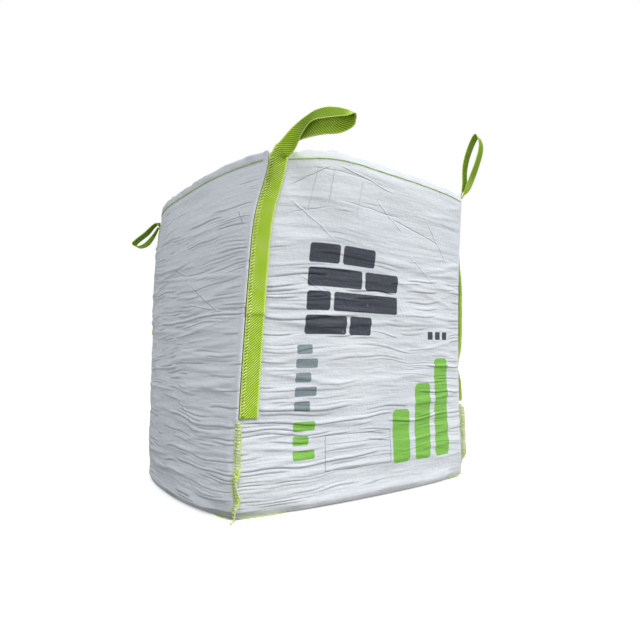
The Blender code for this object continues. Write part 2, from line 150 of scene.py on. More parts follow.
@dataclass(frozen=True)
class BagForm:
    """The outline of the filled bag, as the solid frame has it."""

    half_width: float = 0.450
    rim: float = 1.050
    hem: float = 0.027
    round_out: float = 0.012
    round_up: float = 0.060
    crown: float = 0.035
    power: float = 2.4
    strap_columns: tuple[float, float] = (0.010, 0.070)
    bulges: tuple = 3 * ((0.040, 0.060, 0.075),) + ((0.068, 0.074, 0.080),)
    signs: tuple = ((-1, -1), (1, -1), (1, 1), (-1, 1))
    drifts: tuple = (
        ((-0.052, -0.003), (-0.046, 0.008), (-0.034, 0.014), (-0.021, 0.014),
         (-0.008, 0.012), (0.009, 0.006), (0.051, -0.006)),
        ((0.006, 0.026), (0.000, 0.026), (-0.006, 0.025), (-0.007, 0.022),
         (-0.006, 0.018), (0.000, 0.013), (0.008, 0.006)),
        ((0.000, 0.000), (0.000, -0.001), (0.000, 0.001), (0.000, 0.002),
         (0.002, 0.001), (0.005, -0.001), (0.010, -0.004)),
        ((-0.004, -0.050), (-0.003, -0.037), (0.005, -0.027), (0.013, -0.018),
         (0.016, -0.011), (0.026, -0.007), (0.042, -0.006)),
    )
    rises: tuple = (
        (-0.008, 0.018, 0.004, -0.006, -0.006),
        (-0.006, 0.004, 0.006, 0.004, 0.004),
        (0.004, 0.006, 0.004, -0.002, -0.006),
        (-0.006, -0.020, -0.026, -0.018, -0.008),
    )

    @property
    def width(self) -> float:
        """Return the width of a side panel between its corner seams."""
        return 2.0 * self.half_width

    def centre(self, height: float) -> np.ndarray:
        """Return the plan position of the middle between the corners at a height."""
        return sum(self.corner(corner, np.array(height)) for corner in range(4)) / 4.0

    def corner(self, corner: int, height: np.ndarray) -> np.ndarray:
        """Return the plan position of a corner at some heights."""
        level = np.clip(height, 0.0, self.rim)
        below = np.clip(1.0 - level / self.round_up, 0.0, 1.0)
        half = self.half_width - self.round_out * (1.0 - np.sqrt(1.0 - below * below))
        sign = np.array(self.signs[corner % 4], dtype=float)
        return half[..., None] * sign + spline(self.drifts[corner % 4], level / self.rim)

    def bulge(self, side: int, height: np.ndarray) -> np.ndarray:
        """Return how far the middle of a side stands out at some heights."""
        foot, middle, rim = self.bulges[side % 4]
        v = np.clip(height, 0.0, self.rim) / self.rim
        lower = foot * (1.0 - v) * (1.0 - 2.0 * v) + middle * 4.0 * v * (1.0 - v)
        return lower + rim * v * (2.0 * v - 1.0)

    def outline(self, side: int, fraction: np.ndarray, height: np.ndarray) -> np.ndarray:
        """Return the plan positions of the fill's outline."""
        fraction, height = np.broadcast_arrays(np.asarray(fraction, float), np.asarray(height, float))
        start = self.corner(side, height)
        end = self.corner(side + 1, height)
        along = end - start
        along = along / np.linalg.norm(along, axis=-1, keepdims=True)
        outward = np.stack((along[..., 1], -along[..., 0]), axis=-1)
        swell = 1.0 - np.abs(2.0 * fraction - 1.0) ** self.power
        place = fraction[..., None]
        straight = start * (1.0 - place) + end * place
        return straight + outward * (self.bulge(side, height) * swell)[..., None]

    def outward(self, side: int, fraction: np.ndarray, height: np.ndarray) -> np.ndarray:
        """Return the unit plan normals of the outline."""
        step = 0.006
        before = self.outline(side, np.clip(np.asarray(fraction) - step, 0.0, 1.0), height)
        after = self.outline(side, np.clip(np.asarray(fraction) + step, 0.0, 1.0), height)
        along = after - before
        along = along / np.linalg.norm(along, axis=-1, keepdims=True)
        return np.stack((along[..., 1], -along[..., 0]), axis=-1)

    def rise(self, side: int, fraction: np.ndarray, height: np.ndarray) -> np.ndarray:
        """Return how far points lie above their nominal height, because the rim isn't level."""
        at_rim = curve(self.rises[side % 4], np.asarray(fraction, dtype=float))
        return at_rim * np.minimum(np.asarray(height) / self.rim, 1.0) ** 2

    def place(self, side: int, fraction: np.ndarray, height: np.ndarray, out: np.ndarray) -> np.ndarray:
        """Return 3-D points at a distance outside the fill.

        Args:
            side: Number of the side.
            fraction: Places from the side's first corner to its second.
            height: Nominal heights.
            out: Distances outward from the fill.

        Returns:
            An array of points, with a last axis of three.
        """
        fraction, height, out = np.broadcast_arrays(
            np.asarray(fraction, float), np.asarray(height, float), np.asarray(out, float)
        )
        plan = self.outline(side, fraction, height)
        plan = plan + self.outward(side, fraction, height) * out[..., None]
        lift = height + self.rise(side, fraction, height)
        return np.concatenate((plan, lift[..., None]), axis=-1)


FORM = BagForm()


@dataclass(frozen=True)
class Fold:
    """One soft ridge of gathered cloth across a panel, in metres from the panel's first corner."""

    start: float
    level: float
    length: float
    slope: float
    bend: float
    height: float
    width: float

    def lift(self, across: np.ndarray, up: np.ndarray) -> np.ndarray:
        """Return how far the fold pushes the cloth out at each point."""
        run = across - self.start
        taper = np.sin(math.pi * np.clip(run / self.length, 0.0, 1.0)) ** 0.8
        offset = up - self.level - self.slope * run - self.bend * run * run
        near = offset / np.where(offset < 0.0, self.width * 0.6, self.width)
        return self.height * taper * np.exp(-near * near)


@dataclass(frozen=True)
class Crease:
    """A long crease that the photograph shows plainly, from one distance across to another."""

    level: float
    start: float
    end: float
    strength: float


@dataclass
class CreaseField:
    """The creases of a filled panel, stacked up its height like shingles.

    The grid's rows follow the creases, so that each has a valley row and a lip row.
    """

    seed: int
    pitch: tuple[float, float]
    calm: float
    main: tuple[Crease, ...] = ()
    quiet: tuple[float, ...] = ()
    wander: float = 0.020
    depth: float = 0.0026
    lowest: float = 0.020
    below_rim: float = 0.022
    levels: list[float] = field(init=False)
    strengths: list[float] = field(init=False)

    def __post_init__(self) -> None:
        """Place the creases up the panel."""
        pick = random.Random(self.seed)
        self.levels = []
        self.strengths = []
        level = self.lowest
        while level < FORM.rim - self.below_rim:
            self.levels.append(level)
            self.strengths.append(0.30 + 0.70 * pick.random() ** 1.3)
            level += pick.uniform(*self.pitch)

    def drift(self, across: np.ndarray, level: np.ndarray) -> np.ndarray:
        """Return how far a crease wanders from its level."""
        ends = smoothstep(0.0, 0.06, level) * smoothstep(0.0, 0.10, FORM.rim - level)
        slow = noise_field(across, level, (0.34, 0.20), self.seed + 1)
        quick = noise_field(across, level, (0.13, 0.075), self.seed + 2)
        return ends * self.wander * (slow + 0.42 * quick)

    def mask(self, number: int, across: np.ndarray) -> np.ndarray:
        """Return how strong a crease is along its length, from 0 to 1 or a little more."""
        level = self.levels[number]
        corner = np.exp(-np.minimum(across, FORM.width - across) / 0.16)
        upper = smoothstep(self.calm - 0.12, self.calm + 0.10, level)
        pattern = noise_field(across, number * 1.37 + 0.5, (0.19, 1.0), self.seed + 3)
        pattern = pattern + 0.35 * noise_field(across, number * 2.11, (0.07, 1.0), self.seed + 4)
        edge = 0.14 - 0.34 * corner + 0.40 * upper
        strength = smoothstep(edge - 0.22, edge + 0.38, pattern)
        strength = strength * self.strengths[number] * (1.0 - 0.45 * upper)
        if self.quiet:
            middle, height, reach, tall = self.quiet
            near = ((across - middle) / reach) ** 2 + ((level - height) / tall) ** 2
            strength = strength * (1.0 - 0.85 * np.exp(-near))
        for crease in self.main:
            if level == min(self.levels, key=lambda other: abs(other - crease.level)):
                inside = smoothstep(crease.start - 0.03, crease.start + 0.03, across)
                inside = inside * smoothstep(crease.end + 0.03, crease.end - 0.03, across)
                strength = np.maximum(strength, inside * crease.strength)
        return strength

    def rows(self, across: np.ndarray) -> tuple[np.ndarray, np.ndarray, np.ndarray]:
        """Lay out the panel's rows.

        Args:
            across: Distances across the panel, one per column.

        Returns:
            The height on the flat cloth, the height in space and the fold's lift, by column and row.
        """
        flat, spots, lifts = [], [], []
        tops = self.levels[1:] + [FORM.rim]

        def add(level: float, shift: np.ndarray, lift: np.ndarray) -> None:
            """Add one row."""
            at = np.full(across.shape, level)
            place = at - self.drift(across, at)
            flat.append(place)
            spots.append(place + shift)
            lifts.append(lift)

        none = np.zeros(across.shape)
        add(0.007, none, none)
        for number, (level, top) in enumerate(zip(self.levels, tops)):
            mask = self.mask(number, across)
            room = top - level
            tall = self.depth * np.minimum(mask, 2.0) * min(1.0, room / 0.014)
            add(level - 0.0010, 0.0008 * np.minimum(mask, 1.2), none - 0.10 * tall)
            add(level + 0.0010, -0.0022 * np.minimum(mask, 1.5), 0.80 * tall)
            add(level + 0.34 * room, none, 0.95 * tall)
            add(level + 0.68 * room, none, 0.45 * tall)
        add(FORM.rim, none, none)
        return np.stack(flat, axis=1), np.stack(spots, axis=1), np.stack(lifts, axis=1)


def scatter_folds(seed: int, count: int, width: float, calm_above: float) -> list[Fold]:
    """Scatter the soft folds of a filled panel.

    Args:
        seed: Seed of the pattern.
        count: How many folds to make.
        width: Width of the panel in metres.
        calm_above: Height above which folds are fewer.

    Returns:
        The folds, longer and flatter in the middle and gathered at both corners.
    """
    pick = random.Random(seed)
    folds = []
    while len(folds) < count:
        level = pick.uniform(0.015, 1.03)
        if level > calm_above and pick.random() < 0.55:
            continue
        kind = pick.random()
        length = pick.uniform(0.12, 0.40)
        slope = pick.uniform(-0.22, 0.22)
        start = pick.uniform(-0.02, 0.01)
        if 0.35 < kind < 0.7:
            start = width - length + pick.uniform(-0.01, 0.02)
        elif kind >= 0.7:
            length = pick.uniform(0.20, 0.62)
            start = pick.uniform(0.0, width - 0.5 * length)
            slope = pick.uniform(-0.10, 0.10)
        strong = pick.random() ** 2.0
        bend = pick.uniform(-0.12, 0.12)
        height = 0.0010 + 0.0030 * strong
        folds.append(Fold(start, level, length, slope, bend, height, pick.uniform(0.007, 0.014)))
    return folds


@dataclass(frozen=True)
class Value:
    """What a shader node puts out. It takes part in sums like a number."""

    graph: "Graph"
    socket: bpy.types.NodeSocket

    def __add__(self, other: "Value | float") -> "Value":
        """Return the sum."""
        return self.graph.math("ADD", self, other)

    def __sub__(self, other: "Value | float") -> "Value":
        """Return the difference."""
        return self.graph.math("SUBTRACT", self, other)

    def __rsub__(self, other: float) -> "Value":
        """Return a number less this value."""
        return self.graph.math("SUBTRACT", other, self)

    def __mul__(self, other: "Value | float") -> "Value":
        """Return the product."""
        return self.graph.math("MULTIPLY", self, other)

    def __truediv__(self, other: "Value | float") -> "Value":
        """Return the quotient."""
        return self.graph.math("DIVIDE", self, other)

    def __abs__(self) -> "Value":
        """Return the value without its sign."""
        return self.graph.math("ABSOLUTE", self)

    def remap(self, low: float, high: float, to_low: float, to_high: float) -> "Value":
        """Ease from one number to another as this value goes from low to high."""
        inputs = {0: self, 1: low, 2: high, 3: to_low, 4: to_high}
        return self.graph.value("MapRange", inputs, interpolation_type="SMOOTHSTEP")

    def other(self, output: int | str) -> "Value":
        """Return another output of the same node."""
        return Value(self.graph, self.socket.node.outputs[output])


class Graph:
    """The node tree of one material, and the nodes added to it."""

    def __init__(self, tree: bpy.types.NodeTree) -> None:
        """Keep the tree that the nodes go into."""
        self.tree = tree

    def feed(self, socket: bpy.types.NodeSocket, value: object) -> None:
        """Link a socket to a value, or set its number, vector or colour."""
        if isinstance(value, Value):
            self.tree.links.new(value.socket, socket)
        elif socket.type == "RGBA":
            socket.default_value = (*value, 1.0)
        else:
            socket.default_value = value

    def value(self, kind: str, inputs: dict, output: int | str = 0, **settings: object) -> Value:
        """Add a node.

        Args:
            kind: Node type without the ShaderNode prefix.
            inputs: Values, numbers or colours by input name or number.
            output: The output that is wanted.
            settings: Node properties.

        Returns:
            What the node puts out.
        """
        node = self.tree.nodes.new("ShaderNode" + kind)
        for key, setting in settings.items():
            setattr(node, key, setting)
        for key, value in inputs.items():
            self.feed(node.inputs[key], value)
        return Value(self, node.outputs[output])

    def math(self, operation: str, *values: object) -> Value:
        """Return the output of a Math node."""
        return self.value("Math", dict(enumerate(values)), operation=operation)

    def mix(self, factor: Value, first: object, second: object) -> Value:
        """Blend two colours."""
        return self.value("Mix", {0: factor, 6: first, 7: second}, 2, data_type="RGBA")

    def noise(self, vector: Value, scale: float, detail: float, roughness: float = 0.5) -> Value:
        """Return a noise texture from 0 to 1."""
        inputs = {"Vector": vector, "Scale": scale, "Detail": detail, "Roughness": roughness}
        return self.value("TexNoise", inputs)

    def split(self, vector: Value) -> list[Value]:
        """Return the three parts of a vector."""
        first = self.value("SeparateXYZ", {0: vector})
        return [first.other(part) for part in range(3)]

    def uv(self) -> Value:
        """Return the place on the flat cloth, in metres."""
        return self.value("UVMap", {}, uv_map="cloth")

    def spot(self) -> Value:
        """Return the place in the shared frame, in metres."""
        return self.value("TexCoord", {}, "Object")


def weave(graph: Graph, uv: Value, tape: float) -> tuple[Value, Value]:
    """Return the height of a plain weave of flat tapes, and the mask of its gaps."""
    across, up = [part / tape for part in graph.split(uv)[:2]]
    odd = graph.math("PINGPONG", graph.math("FLOOR", across) + graph.math("FLOOR", up), 1.0)
    crest_up, crest_across = [abs(graph.math("SINE", place * math.pi)) for place in (up, across)]
    gap = graph.math("MINIMUM", crest_up, crest_across).remap(0.0, 0.25, 1.0, 0.0)
    return crest_up * odd + crest_across * (1.0 - odd), gap


def print_masks(graph: Graph, uv: Value) -> list[Value]:
    """Return the masks of the grey, green and dark shapes printed on the front panel."""
    across, up, _ = graph.split(uv)
    soft = 0.0008

    def box(left: float, low: float, right: float, high: float, rounding: float) -> Value:
        """Return the mask of a rectangle with rounded corners."""
        away_x = abs(across - (left + right) / 2.0) - ((right - left) / 2.0 - rounding)
        away_y = abs(up - (low + high) / 2.0) - ((high - low) / 2.0 - rounding)
        past_x, past_y = [graph.math("MAXIMUM", away, 0.0) for away in (away_x, away_y)]
        distance = graph.math("SQRT", past_x * past_x + past_y * past_y) - rounding
        return distance.remap(-soft, soft, 1.0, 0.0)

    def together(masks: list[Value]) -> Value:
        """Return the largest of several masks."""
        return reduce(lambda first, second: graph.math("MAXIMUM", first, second), masks)

    dark, grey, green = [], [], []
    blocks = ((-0.020, -0.150), (0.085, -0.060), (0.085, -0.175), (-0.020, -0.110))
    for row, (right, gap) in enumerate(blocks):
        low = 0.735 - 0.072 * row
        dark.append(box(-0.262, low, gap - 0.006, low + 0.058, 0.009))
        dark.append(box(gap + 0.006, low, right, low + 0.058, 0.009))
    for masks, first, rights in (
        (grey, 0.292, (-0.232, -0.212, -0.232, -0.212, -0.232)),
        (green, 0.148, (-0.212, -0.232, -0.212)),
    ):
        for step, right in enumerate(rights):
            low = first + 0.042 * step
            masks.append(box(-0.282, low, right, low + 0.028, 0.006))
    lines = [box(-0.178, 0.106, 0.072, 0.214, 0.001) - box(-0.1757, 0.1083, 0.0697, 0.2117, 0.001)]
    for step in range(3):
        small = 0.245 + 0.042 * step
        dark.append(box(small, 0.512, small + 0.028, 0.540, 0.004))
        left = 0.082 + 0.102 * step
        green.append(box(left, 0.098, left + 0.076, 0.275 + 0.085 * step, 0.016))
        level = 0.133 + 0.026 * step
        lines.append(box(-0.177, level, 0.071, level + 0.0022, 0.0001))
    grey.append(together(lines) * 0.85)
    kept = graph.noise(uv, 90.0, 4.0).remap(0.22, 0.40, 0.86, 1.0)
    return [together(masks) * kept for masks in (grey, green, dark)]


FRONT_PRESSED = (
    (-372, 966, -224, 1036, 1.0), (-224, 1036, 38, 988, 1.0), (-282, 1040, -286, 850, -0.6),
    (-224, 1035, -221, 900, -0.8), (-110, 1020, -114, 870, -0.6), (-335, 1022, 0, 1004, -0.5),
    (-190, 928, 85, 915, -0.8), (15, 910, 300, 852, -0.9), (-360, 935, -165, 795, 0.7),
    (-50, 962, 105, 862, 0.7), (200, 935, 365, 775, 0.9), (-300, 705, -155, 612, 0.5),
    (120, 805, 300, 690, 0.6), (60, 700, 130, 560, 0.4), (-350, 880, -200, 905, -0.6),
)
SIDE_PRESSED = (
    (200, 692, 372, 585, 1.0), (185, 632, 352, 598, 0.8), (400, 905, 436, 850, 1.0),
    (15, 782, 165, 725, 0.8), (-200, 560, 20, 450, 0.6), (-310, 880, -120, 935, -0.6),
    (100, 990, 95, 780, -0.5), (-150, 985, -158, 800, -0.5), (120, 330, 300, 240, 0.6),
)


def pressed(graph: Graph, uv: Value, lines: tuple[tuple[float, ...], ...]) -> Value:
    """Return the height of thin creases pressed into the folded cloth before filling.

    Args:
        graph: The material's graph.
        uv: The place on the flat cloth.
        lines: Start across and up and end across and up in millimetres, and strength of each crease.

    Returns:
        The height that all the creases have together.
    """
    rough = graph.noise(uv, 22.0, 3.0).other("Color")
    sway = graph.value("VectorMath", {0: rough, 1: (0.5, 0.5, 0.5)}, operation="SUBTRACT")
    sway = graph.value("VectorMath", {0: sway, "Scale": 0.010}, operation="SCALE")
    across, up, _ = graph.split(graph.value("VectorMath", {0: uv, 1: sway}, operation="ADD"))
    total = 0.0
    for *ends, strength in lines:
        left, low, right, high = [value / 1000.0 for value in ends]
        run = Vector((right - left, high - low))
        unit = run.normalized()
        x, y = across - left, up - low
        along = graph.math("MULTIPLY_ADD", y, unit.y, x * unit.x)
        aside = graph.math("MULTIPLY_ADD", y, unit.x, x * -unit.y)
        ridge = abs(aside).remap(0.0, 0.0040, strength, 0.0)
        taper = along.remap(0.0, 0.25 * run.length, 0.0, 1.0)
        taper = taper * along.remap(0.75 * run.length, run.length, 1.0, 0.0)
        total = graph.math("MULTIPLY_ADD", ridge, taper, total)
    return total


class Finish:
    """A material, made from the colour, roughness and relief that a subclass works out."""

    roughness: float = 0.70
    specular: float = 0.5

    def layers(self, graph: Graph) -> tuple[Value, "Value | float", list[tuple[float, float, Value]]]:
        """Return the colour, the roughness, and (strength, distance, height) of each bump."""
        raise NotImplementedError

    def build(self, name: str) -> bpy.types.Material:
        """Return the material."""
        material = bpy.data.materials.new(name)
        material.use_nodes = True
        graph = Graph(material.node_tree)
        inputs = material.node_tree.nodes["Principled BSDF"].inputs
        colour, roughness, bumps = self.layers(graph)
        graph.feed(inputs["Base Color"], colour)
        graph.feed(inputs["Roughness"], roughness)
        graph.feed(inputs["Specular IOR Level"], self.specular)
        below = {}
        for strength, distance, height in bumps:
            settings = {"Strength": strength, "Distance": distance, "Height": height}
            below = {"Normal": graph.value("Bump", settings | below)}
        graph.feed(inputs["Normal"], below["Normal"])
        return material


Colour = tuple[float, float, float]
WHITE = (1.0, 1.0, 1.0)


@dataclass(frozen=True)
class ClothFinish(Finish):
    """White woven cloth with a satin coating, plain or with the front print."""

    printed: bool = False
    colour: Colour = (0.76, 0.785, 0.82)
    # A darker cloth tone, used for random variation and for painted shade in the weave's gaps.
    shade: Colour = (0.66, 0.69, 0.74)
    # Warm tan near the floor: part soil, part painted bounce light from the floor.
    floor_bounce_and_soil: Colour = (0.50, 0.43, 0.34)
    inks: tuple[Colour, ...] = ((0.20, 0.26, 0.28), (0.205, 0.53, 0.040), (0.016, 0.020, 0.040))
    tape: float = 0.0032
    roughness: float = 0.56
    specular: float = 0.30

    def layers(self, graph: Graph) -> tuple[Value, Value, list[tuple[float, float, Value]]]:
        """Return the colour, the roughness and the bumps."""
        uv, spot = graph.uv(), graph.spot()
        tapes, gap = weave(graph, uv, self.tape)
        drift = graph.noise(spot, 5.0, 4.0)
        # Patches of warm tan near the floor, part soil and part painted bounce light.
        near_floor = graph.split(spot)[2].remap(0.0, 0.16, 1.0, 0.0)
        floor_bounce_and_soil = near_floor * graph.noise(spot, 42.0, 5.0).remap(0.46, 0.74, 0.0, 1.0)
        colour = graph.mix(drift.remap(0.35, 0.70, 0.0, 0.55), self.colour, self.shade)
        # Darker tone in the gaps between the tapes: painted shade.
        colour = graph.mix(gap * 0.34, colour, self.shade)
        colour = graph.mix(floor_bounce_and_soil * 0.16, colour, self.floor_bounce_and_soil)
        if self.printed:
            for mask, ink in zip(print_masks(graph, uv), self.inks):
                colour = graph.mix(mask * 0.94, colour, ink)
        stretched = graph.value("Mapping", {"Vector": uv, "Scale": (9.0, 60.0, 1.0)})
        creases = pressed(graph, uv, FRONT_PRESSED if self.printed else SIDE_PRESSED)
        bumps = [
            (0.80, 0.0042, graph.noise(stretched, 1.0, 6.0, 0.6)),
            (0.75, 0.0024, graph.noise(spot, 70.0, 4.0, 0.6)),
            (1.00, 0.0026, creases),
            (0.50, 0.00032, tapes),
        ]
        return colour, drift.remap(0.3, 0.7, self.roughness - 0.06, self.roughness + 0.08), bumps


@dataclass(frozen=True)
class WebbingFinish(Finish):
    """Lime twill webbing: painted shade in its furrows, under the overlock and on the free loop, and a
    plain selvedge with a painted highlight.
    """

    bright: Colour = (0.62, 0.90, 0.050)
    # Dark green for painted shade in the furrows and under the overlock, and for the random fuzz.
    furrow: Colour = (0.092, 0.215, 0.003)
    # Pale lime for random variation and for the painted highlight on the selvedges.
    pale: Colour = (0.80, 0.98, 0.18)
    # Dark olive painted shade on the upper part of the free loop.
    painted_loop_shade: Colour = (0.100, 0.200, 0.003)
    twill_period: float = 0.0083
    yarn_period: float = 0.0030
    strip_width: float = 0.0108
    sewn_length: float = 0.775
    tip_length: float = 1.060
    half_width: float = 0.0265
    specular: float = 0.25

    def layers(self, graph: Graph) -> tuple[Value, float, list[tuple[float, float, Value]]]:
        """Return the colour, the roughness and the bump."""
        uv = graph.uv()
        across, along, _ = graph.split(uv)
        slope = along.remap(self.tip_length, self.tip_length + 0.006, -1.1, 1.1)
        slant = graph.math("MULTIPLY_ADD", along, slope, across) * (math.tau / self.twill_period)
        twill = graph.math("MULTIPLY_ADD", graph.math("SINE", slant), 0.5, 0.5)
        selvedge = abs(across).remap(self.half_width - 0.0036, self.half_width - 0.0028, 0.0, 1.0)
        # The twill's furrows are darkened: painted shade.
        groove = twill.remap(0.12, 0.88, 1.0, 0.0) * graph.math("MULTIPLY_ADD", selvedge, -0.7, 1.0)
        # A darker strip under the overlocked edge of the sewn part: painted shade under the thread.
        strip_end = self.strip_width - self.half_width
        strip = across.remap(strip_end, strip_end + 0.001, 1.0, 0.0)
        strip = strip * along.remap(self.sewn_length, self.sewn_length + 0.01, 1.0, 0.0)
        # Painted shade over the upper part of the free loop, short of its tip and its selvedges.
        painted_loop_shade = along.remap(self.sewn_length + 0.07, self.sewn_length + 0.14, 0.0, 0.62)
        painted_loop_shade = painted_loop_shade * along.remap(self.tip_length - 0.03, self.tip_length, 1.0, 0.0) * (1.0 - selvedge)
        drift = graph.noise(graph.spot(), 26.0, 5.0).remap(0.38, 0.66, 0.0, 0.8)
        fuzz = graph.noise(uv, 420.0, 3.0).remap(0.42, 0.70, 0.0, 0.45)
        colour = graph.mix(drift, self.bright, self.pale)
        for mask, tint in (
            # painted shade in the twill's furrows
            (groove * 0.84, self.furrow),
            # painted shade under the overlock
            (strip * 0.55, self.furrow),
            # both selvedges painted paler: a painted highlight along the edges
            (selvedge * 0.75, self.pale),
            # painted shade on the free loop
            (painted_loop_shade, self.painted_loop_shade),
            (fuzz, self.furrow),
        ):
            colour = graph.mix(mask, colour, tint)
        yarn = abs(graph.math("SINE", across * (math.pi / self.yarn_period)))
        return colour, self.roughness, [(0.7, 0.0006, twill * 0.7 + yarn * 0.3)]


@dataclass(frozen=True)
class ThreadFinish(Finish):
    """Spun sewing thread."""

    colour: Colour
    deep: Colour

    def layers(self, graph: Graph) -> tuple[Value, float, list[tuple[float, float, Value]]]:
        """Return the colour, the roughness and the bump."""
        spot = graph.spot()
        drift = graph.noise(spot, 60.0, 3.0).remap(0.3, 0.7, 0.0, 1.0)
        twist = graph.value("TexWave", {"Vector": spot, "Scale": 420.0, "Distortion": 3.0})
        return graph.mix(drift, self.colour, self.deep), self.roughness, [(0.5, 0.0003, twist)]


@dataclass(frozen=True)
class MixFinish(Finish):
    """Loose hemp shiv dusted with lime."""

    shiv: Colour = (0.42, 0.33, 0.20)
    lime: Colour = (0.62, 0.58, 0.50)
    roughness: float = 0.92

    def layers(self, graph: Graph) -> tuple[Value, float, list[tuple[float, float, Value]]]:
        """Return the colour, the roughness and the bump."""
        spot = graph.spot()
        chips = graph.value("TexVoronoi", {"Vector": spot, "Scale": 95.0}, "Color")
        chip = graph.value("SeparateColor", {0: chips})
        colour = graph.mix(chip * graph.noise(spot, 30.0, 5.0), self.shiv, self.lime)
        return colour, self.roughness, [(0.9, 0.004, chips.other("Distance"))]


class Finishes:
    """All materials of the bag, built once."""

    def __init__(self) -> None:
        """Build the materials."""
        self.cloth = ClothFinish().build("plain_cloth")
        self.printed = ClothFinish(printed=True).build("printed_cloth")
        self.webbing = WebbingFinish().build("lime_webbing")
        self.thread = ThreadFinish((0.84, 0.93, 0.30), (0.60, 0.78, 0.12)).build("overlock_thread")
        self.seam = ThreadFinish((0.46, 0.72, 0.05), (0.30, 0.52, 0.02)).build("chain_thread")
        self.white_thread = ThreadFinish((0.84, 0.86, 0.84), (0.70, 0.74, 0.70)).build("white_thread")
        self.mix = MixFinish().build("hemp_lime_mix")


def grid_sheet(
    name: str, places: np.ndarray, flat: np.ndarray, material: bpy.types.Material
) -> bpy.types.Object:
    """Make a sheet from a grid of points.

    Args:
        name: Name of the piece.
        places: Points by column and row.
        flat: Position of each point on the flat cloth in metres, by column and row.
        material: Material of the sheet.

    Returns:
        The new object.
    """
    columns, rows = places.shape[:2]
    bm = bmesh.new()
    made = bmesh.ops.create_grid(bm, x_segments=columns - 1, y_segments=rows - 1, size=1.0)
    layer = bm.loops.layers.uv.new("cloth")
    cells = {}
    for vert in made["verts"]:
        column = round((vert.co.x + 1.0) / 2.0 * (columns - 1))
        row = round((vert.co.y + 1.0) / 2.0 * (rows - 1))
        cells[vert] = (column, row)
        vert.co = places[column, row]
    for face in bm.faces:
        for loop in face.loops:
            loop[layer].uv = flat[cells[loop.vert]]
    return finish_piece(name, bm, material)


def finish_piece(name: str, bm: bmesh.types.BMesh, material: bpy.types.Material) -> bpy.types.Object:
    """Turn a bmesh into a smooth-shaded object at the origin."""
    mesh = bpy.data.meshes.new(name)
    bm.to_mesh(mesh)
    bm.free()
    return place_mesh(mesh, material)


def place_mesh(mesh: bpy.types.Mesh, material: bpy.types.Material) -> bpy.types.Object:
    """Put a mesh in the scene as a smooth-shaded object of its own name."""
    mesh.shade_smooth()
    mesh.materials.append(material)
    obj = bpy.data.objects.new(mesh.name, mesh)
    bpy.context.scene.collection.objects.link(obj)
    return obj


def close_gaps(obj: bpy.types.Object) -> None:
    """Drop faces that have no area and join points that lie together."""
    bm = bmesh.new()
    bm.from_mesh(obj.data)
    collapsed = [face for face in bm.faces if face.calc_area() < 1.0e-9]
    bmesh.ops.delete(bm, geom=collapsed, context="FACES")
    bmesh.ops.remove_doubles(bm, verts=bm.verts, dist=0.00002)
    bm.to_mesh(obj.data)
    bm.free()


def thicken(obj: bpy.types.Object, thickness: float) -> None:
    """Give a sheet its thickness, half on each side."""
    solidify = obj.modifiers.new("thickness", "SOLIDIFY")
    solidify.thickness = thickness
    solidify.offset = 0.0


def face_out(obj: bpy.types.Object, along: Vector) -> None:
    """Turn a sheet's faces so that their average looks along a direction."""
    mesh = obj.data
    total = Vector((0.0, 0.0, 0.0))
    for polygon in mesh.polygons:
        total += polygon.normal * polygon.area
    if total.dot(along) < 0.0:
        mesh.flip_normals()


def declare(obj: bpy.types.Object, slot: str, *nodes: str) -> None:
    """Register a piece: what it rides on and the solids it stands for."""
    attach(obj, "root")
    if nodes:
        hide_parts(*nodes)
    LOG.info("%s: %d faces", obj.name, len(obj.data.polygons))


class ThreadWork:
    """Many short lengths of thread, joined in one mesh from two small templates."""

    def __init__(self) -> None:
        """Make the rod and the chain link that are repeated."""
        self.parts: list[tuple[Strand, np.ndarray]] = []
        self.templates = {Strand.ROD: self.template(6), Strand.LINK: self.template(0)}

    @staticmethod
    def template(sides: int) -> tuple[np.ndarray, list[list[int]]]:
        """Return the vertices and faces of a unit rod, or of a unit ball where sides is 0."""
        bm = bmesh.new()
        if sides:
            bmesh.ops.create_cone(bm, cap_ends=True, segments=sides, radius1=1.0, radius2=1.0, depth=1.0)
        else:
            bmesh.ops.create_icosphere(bm, subdivisions=1, radius=1.0)
        bm.verts.ensure_lookup_table()
        verts = np.array([vert.co[:] for vert in bm.verts])
        faces = [[vert.index for vert in face.verts] for face in bm.faces]
        bm.free()
        return verts, faces

    def add(self, kind: Strand, start: Vector, end: Vector, radius: float, overrun: float) -> None:
        """Add one length of thread between two points.

        Args:
            kind: Shape of the piece.
            start: First end.
            end: Second end.
            radius: Thread radius.
            overrun: How much longer than the distance the piece is.
        """
        line = Vector(end) - Vector(start)
        turn = np.array(line.to_track_quat("Z", "Y").to_matrix())
        length = line.length + overrun
        scale = (radius, radius, length if kind is Strand.ROD else length / 2.0)
        middle = (np.array(start) + np.array(end)) / 2.0
        self.parts.append((kind, (self.templates[kind][0] * scale) @ turn.T + middle))

    def line(self, kind: Strand, points: list, radius: float, overrun: float) -> None:
        """Add a run of thread through points."""
        for here, there in zip(points[:-1], points[1:]):
            self.add(kind, here, there, radius, overrun)

    def join(self, name: str, material: bpy.types.Material, *nodes: str) -> bpy.types.Object:
        """Join everything into one registered object that stands for the nodes named, or for none."""
        verts, faces, first = [], [], 0
        for kind, places in self.parts:
            verts.append(places)
            faces.extend([index + first for index in face] for face in self.templates[kind][1])
            first += len(places)
        mesh = bpy.data.meshes.new(name)
        mesh.from_pydata(np.concatenate(verts).tolist(), [], faces)
        obj = place_mesh(mesh, material)
        declare(obj, "seam_thread", *nodes)
        return obj

    def finish(self, seam: str, place: str, material: bpy.types.Material) -> bpy.types.Object:
        """Join everything into the thread of a seam at a place, which stands for that seam's node."""
        return self.join(f"{seam}_thread_{place}", material, f"{seam}_{place}")


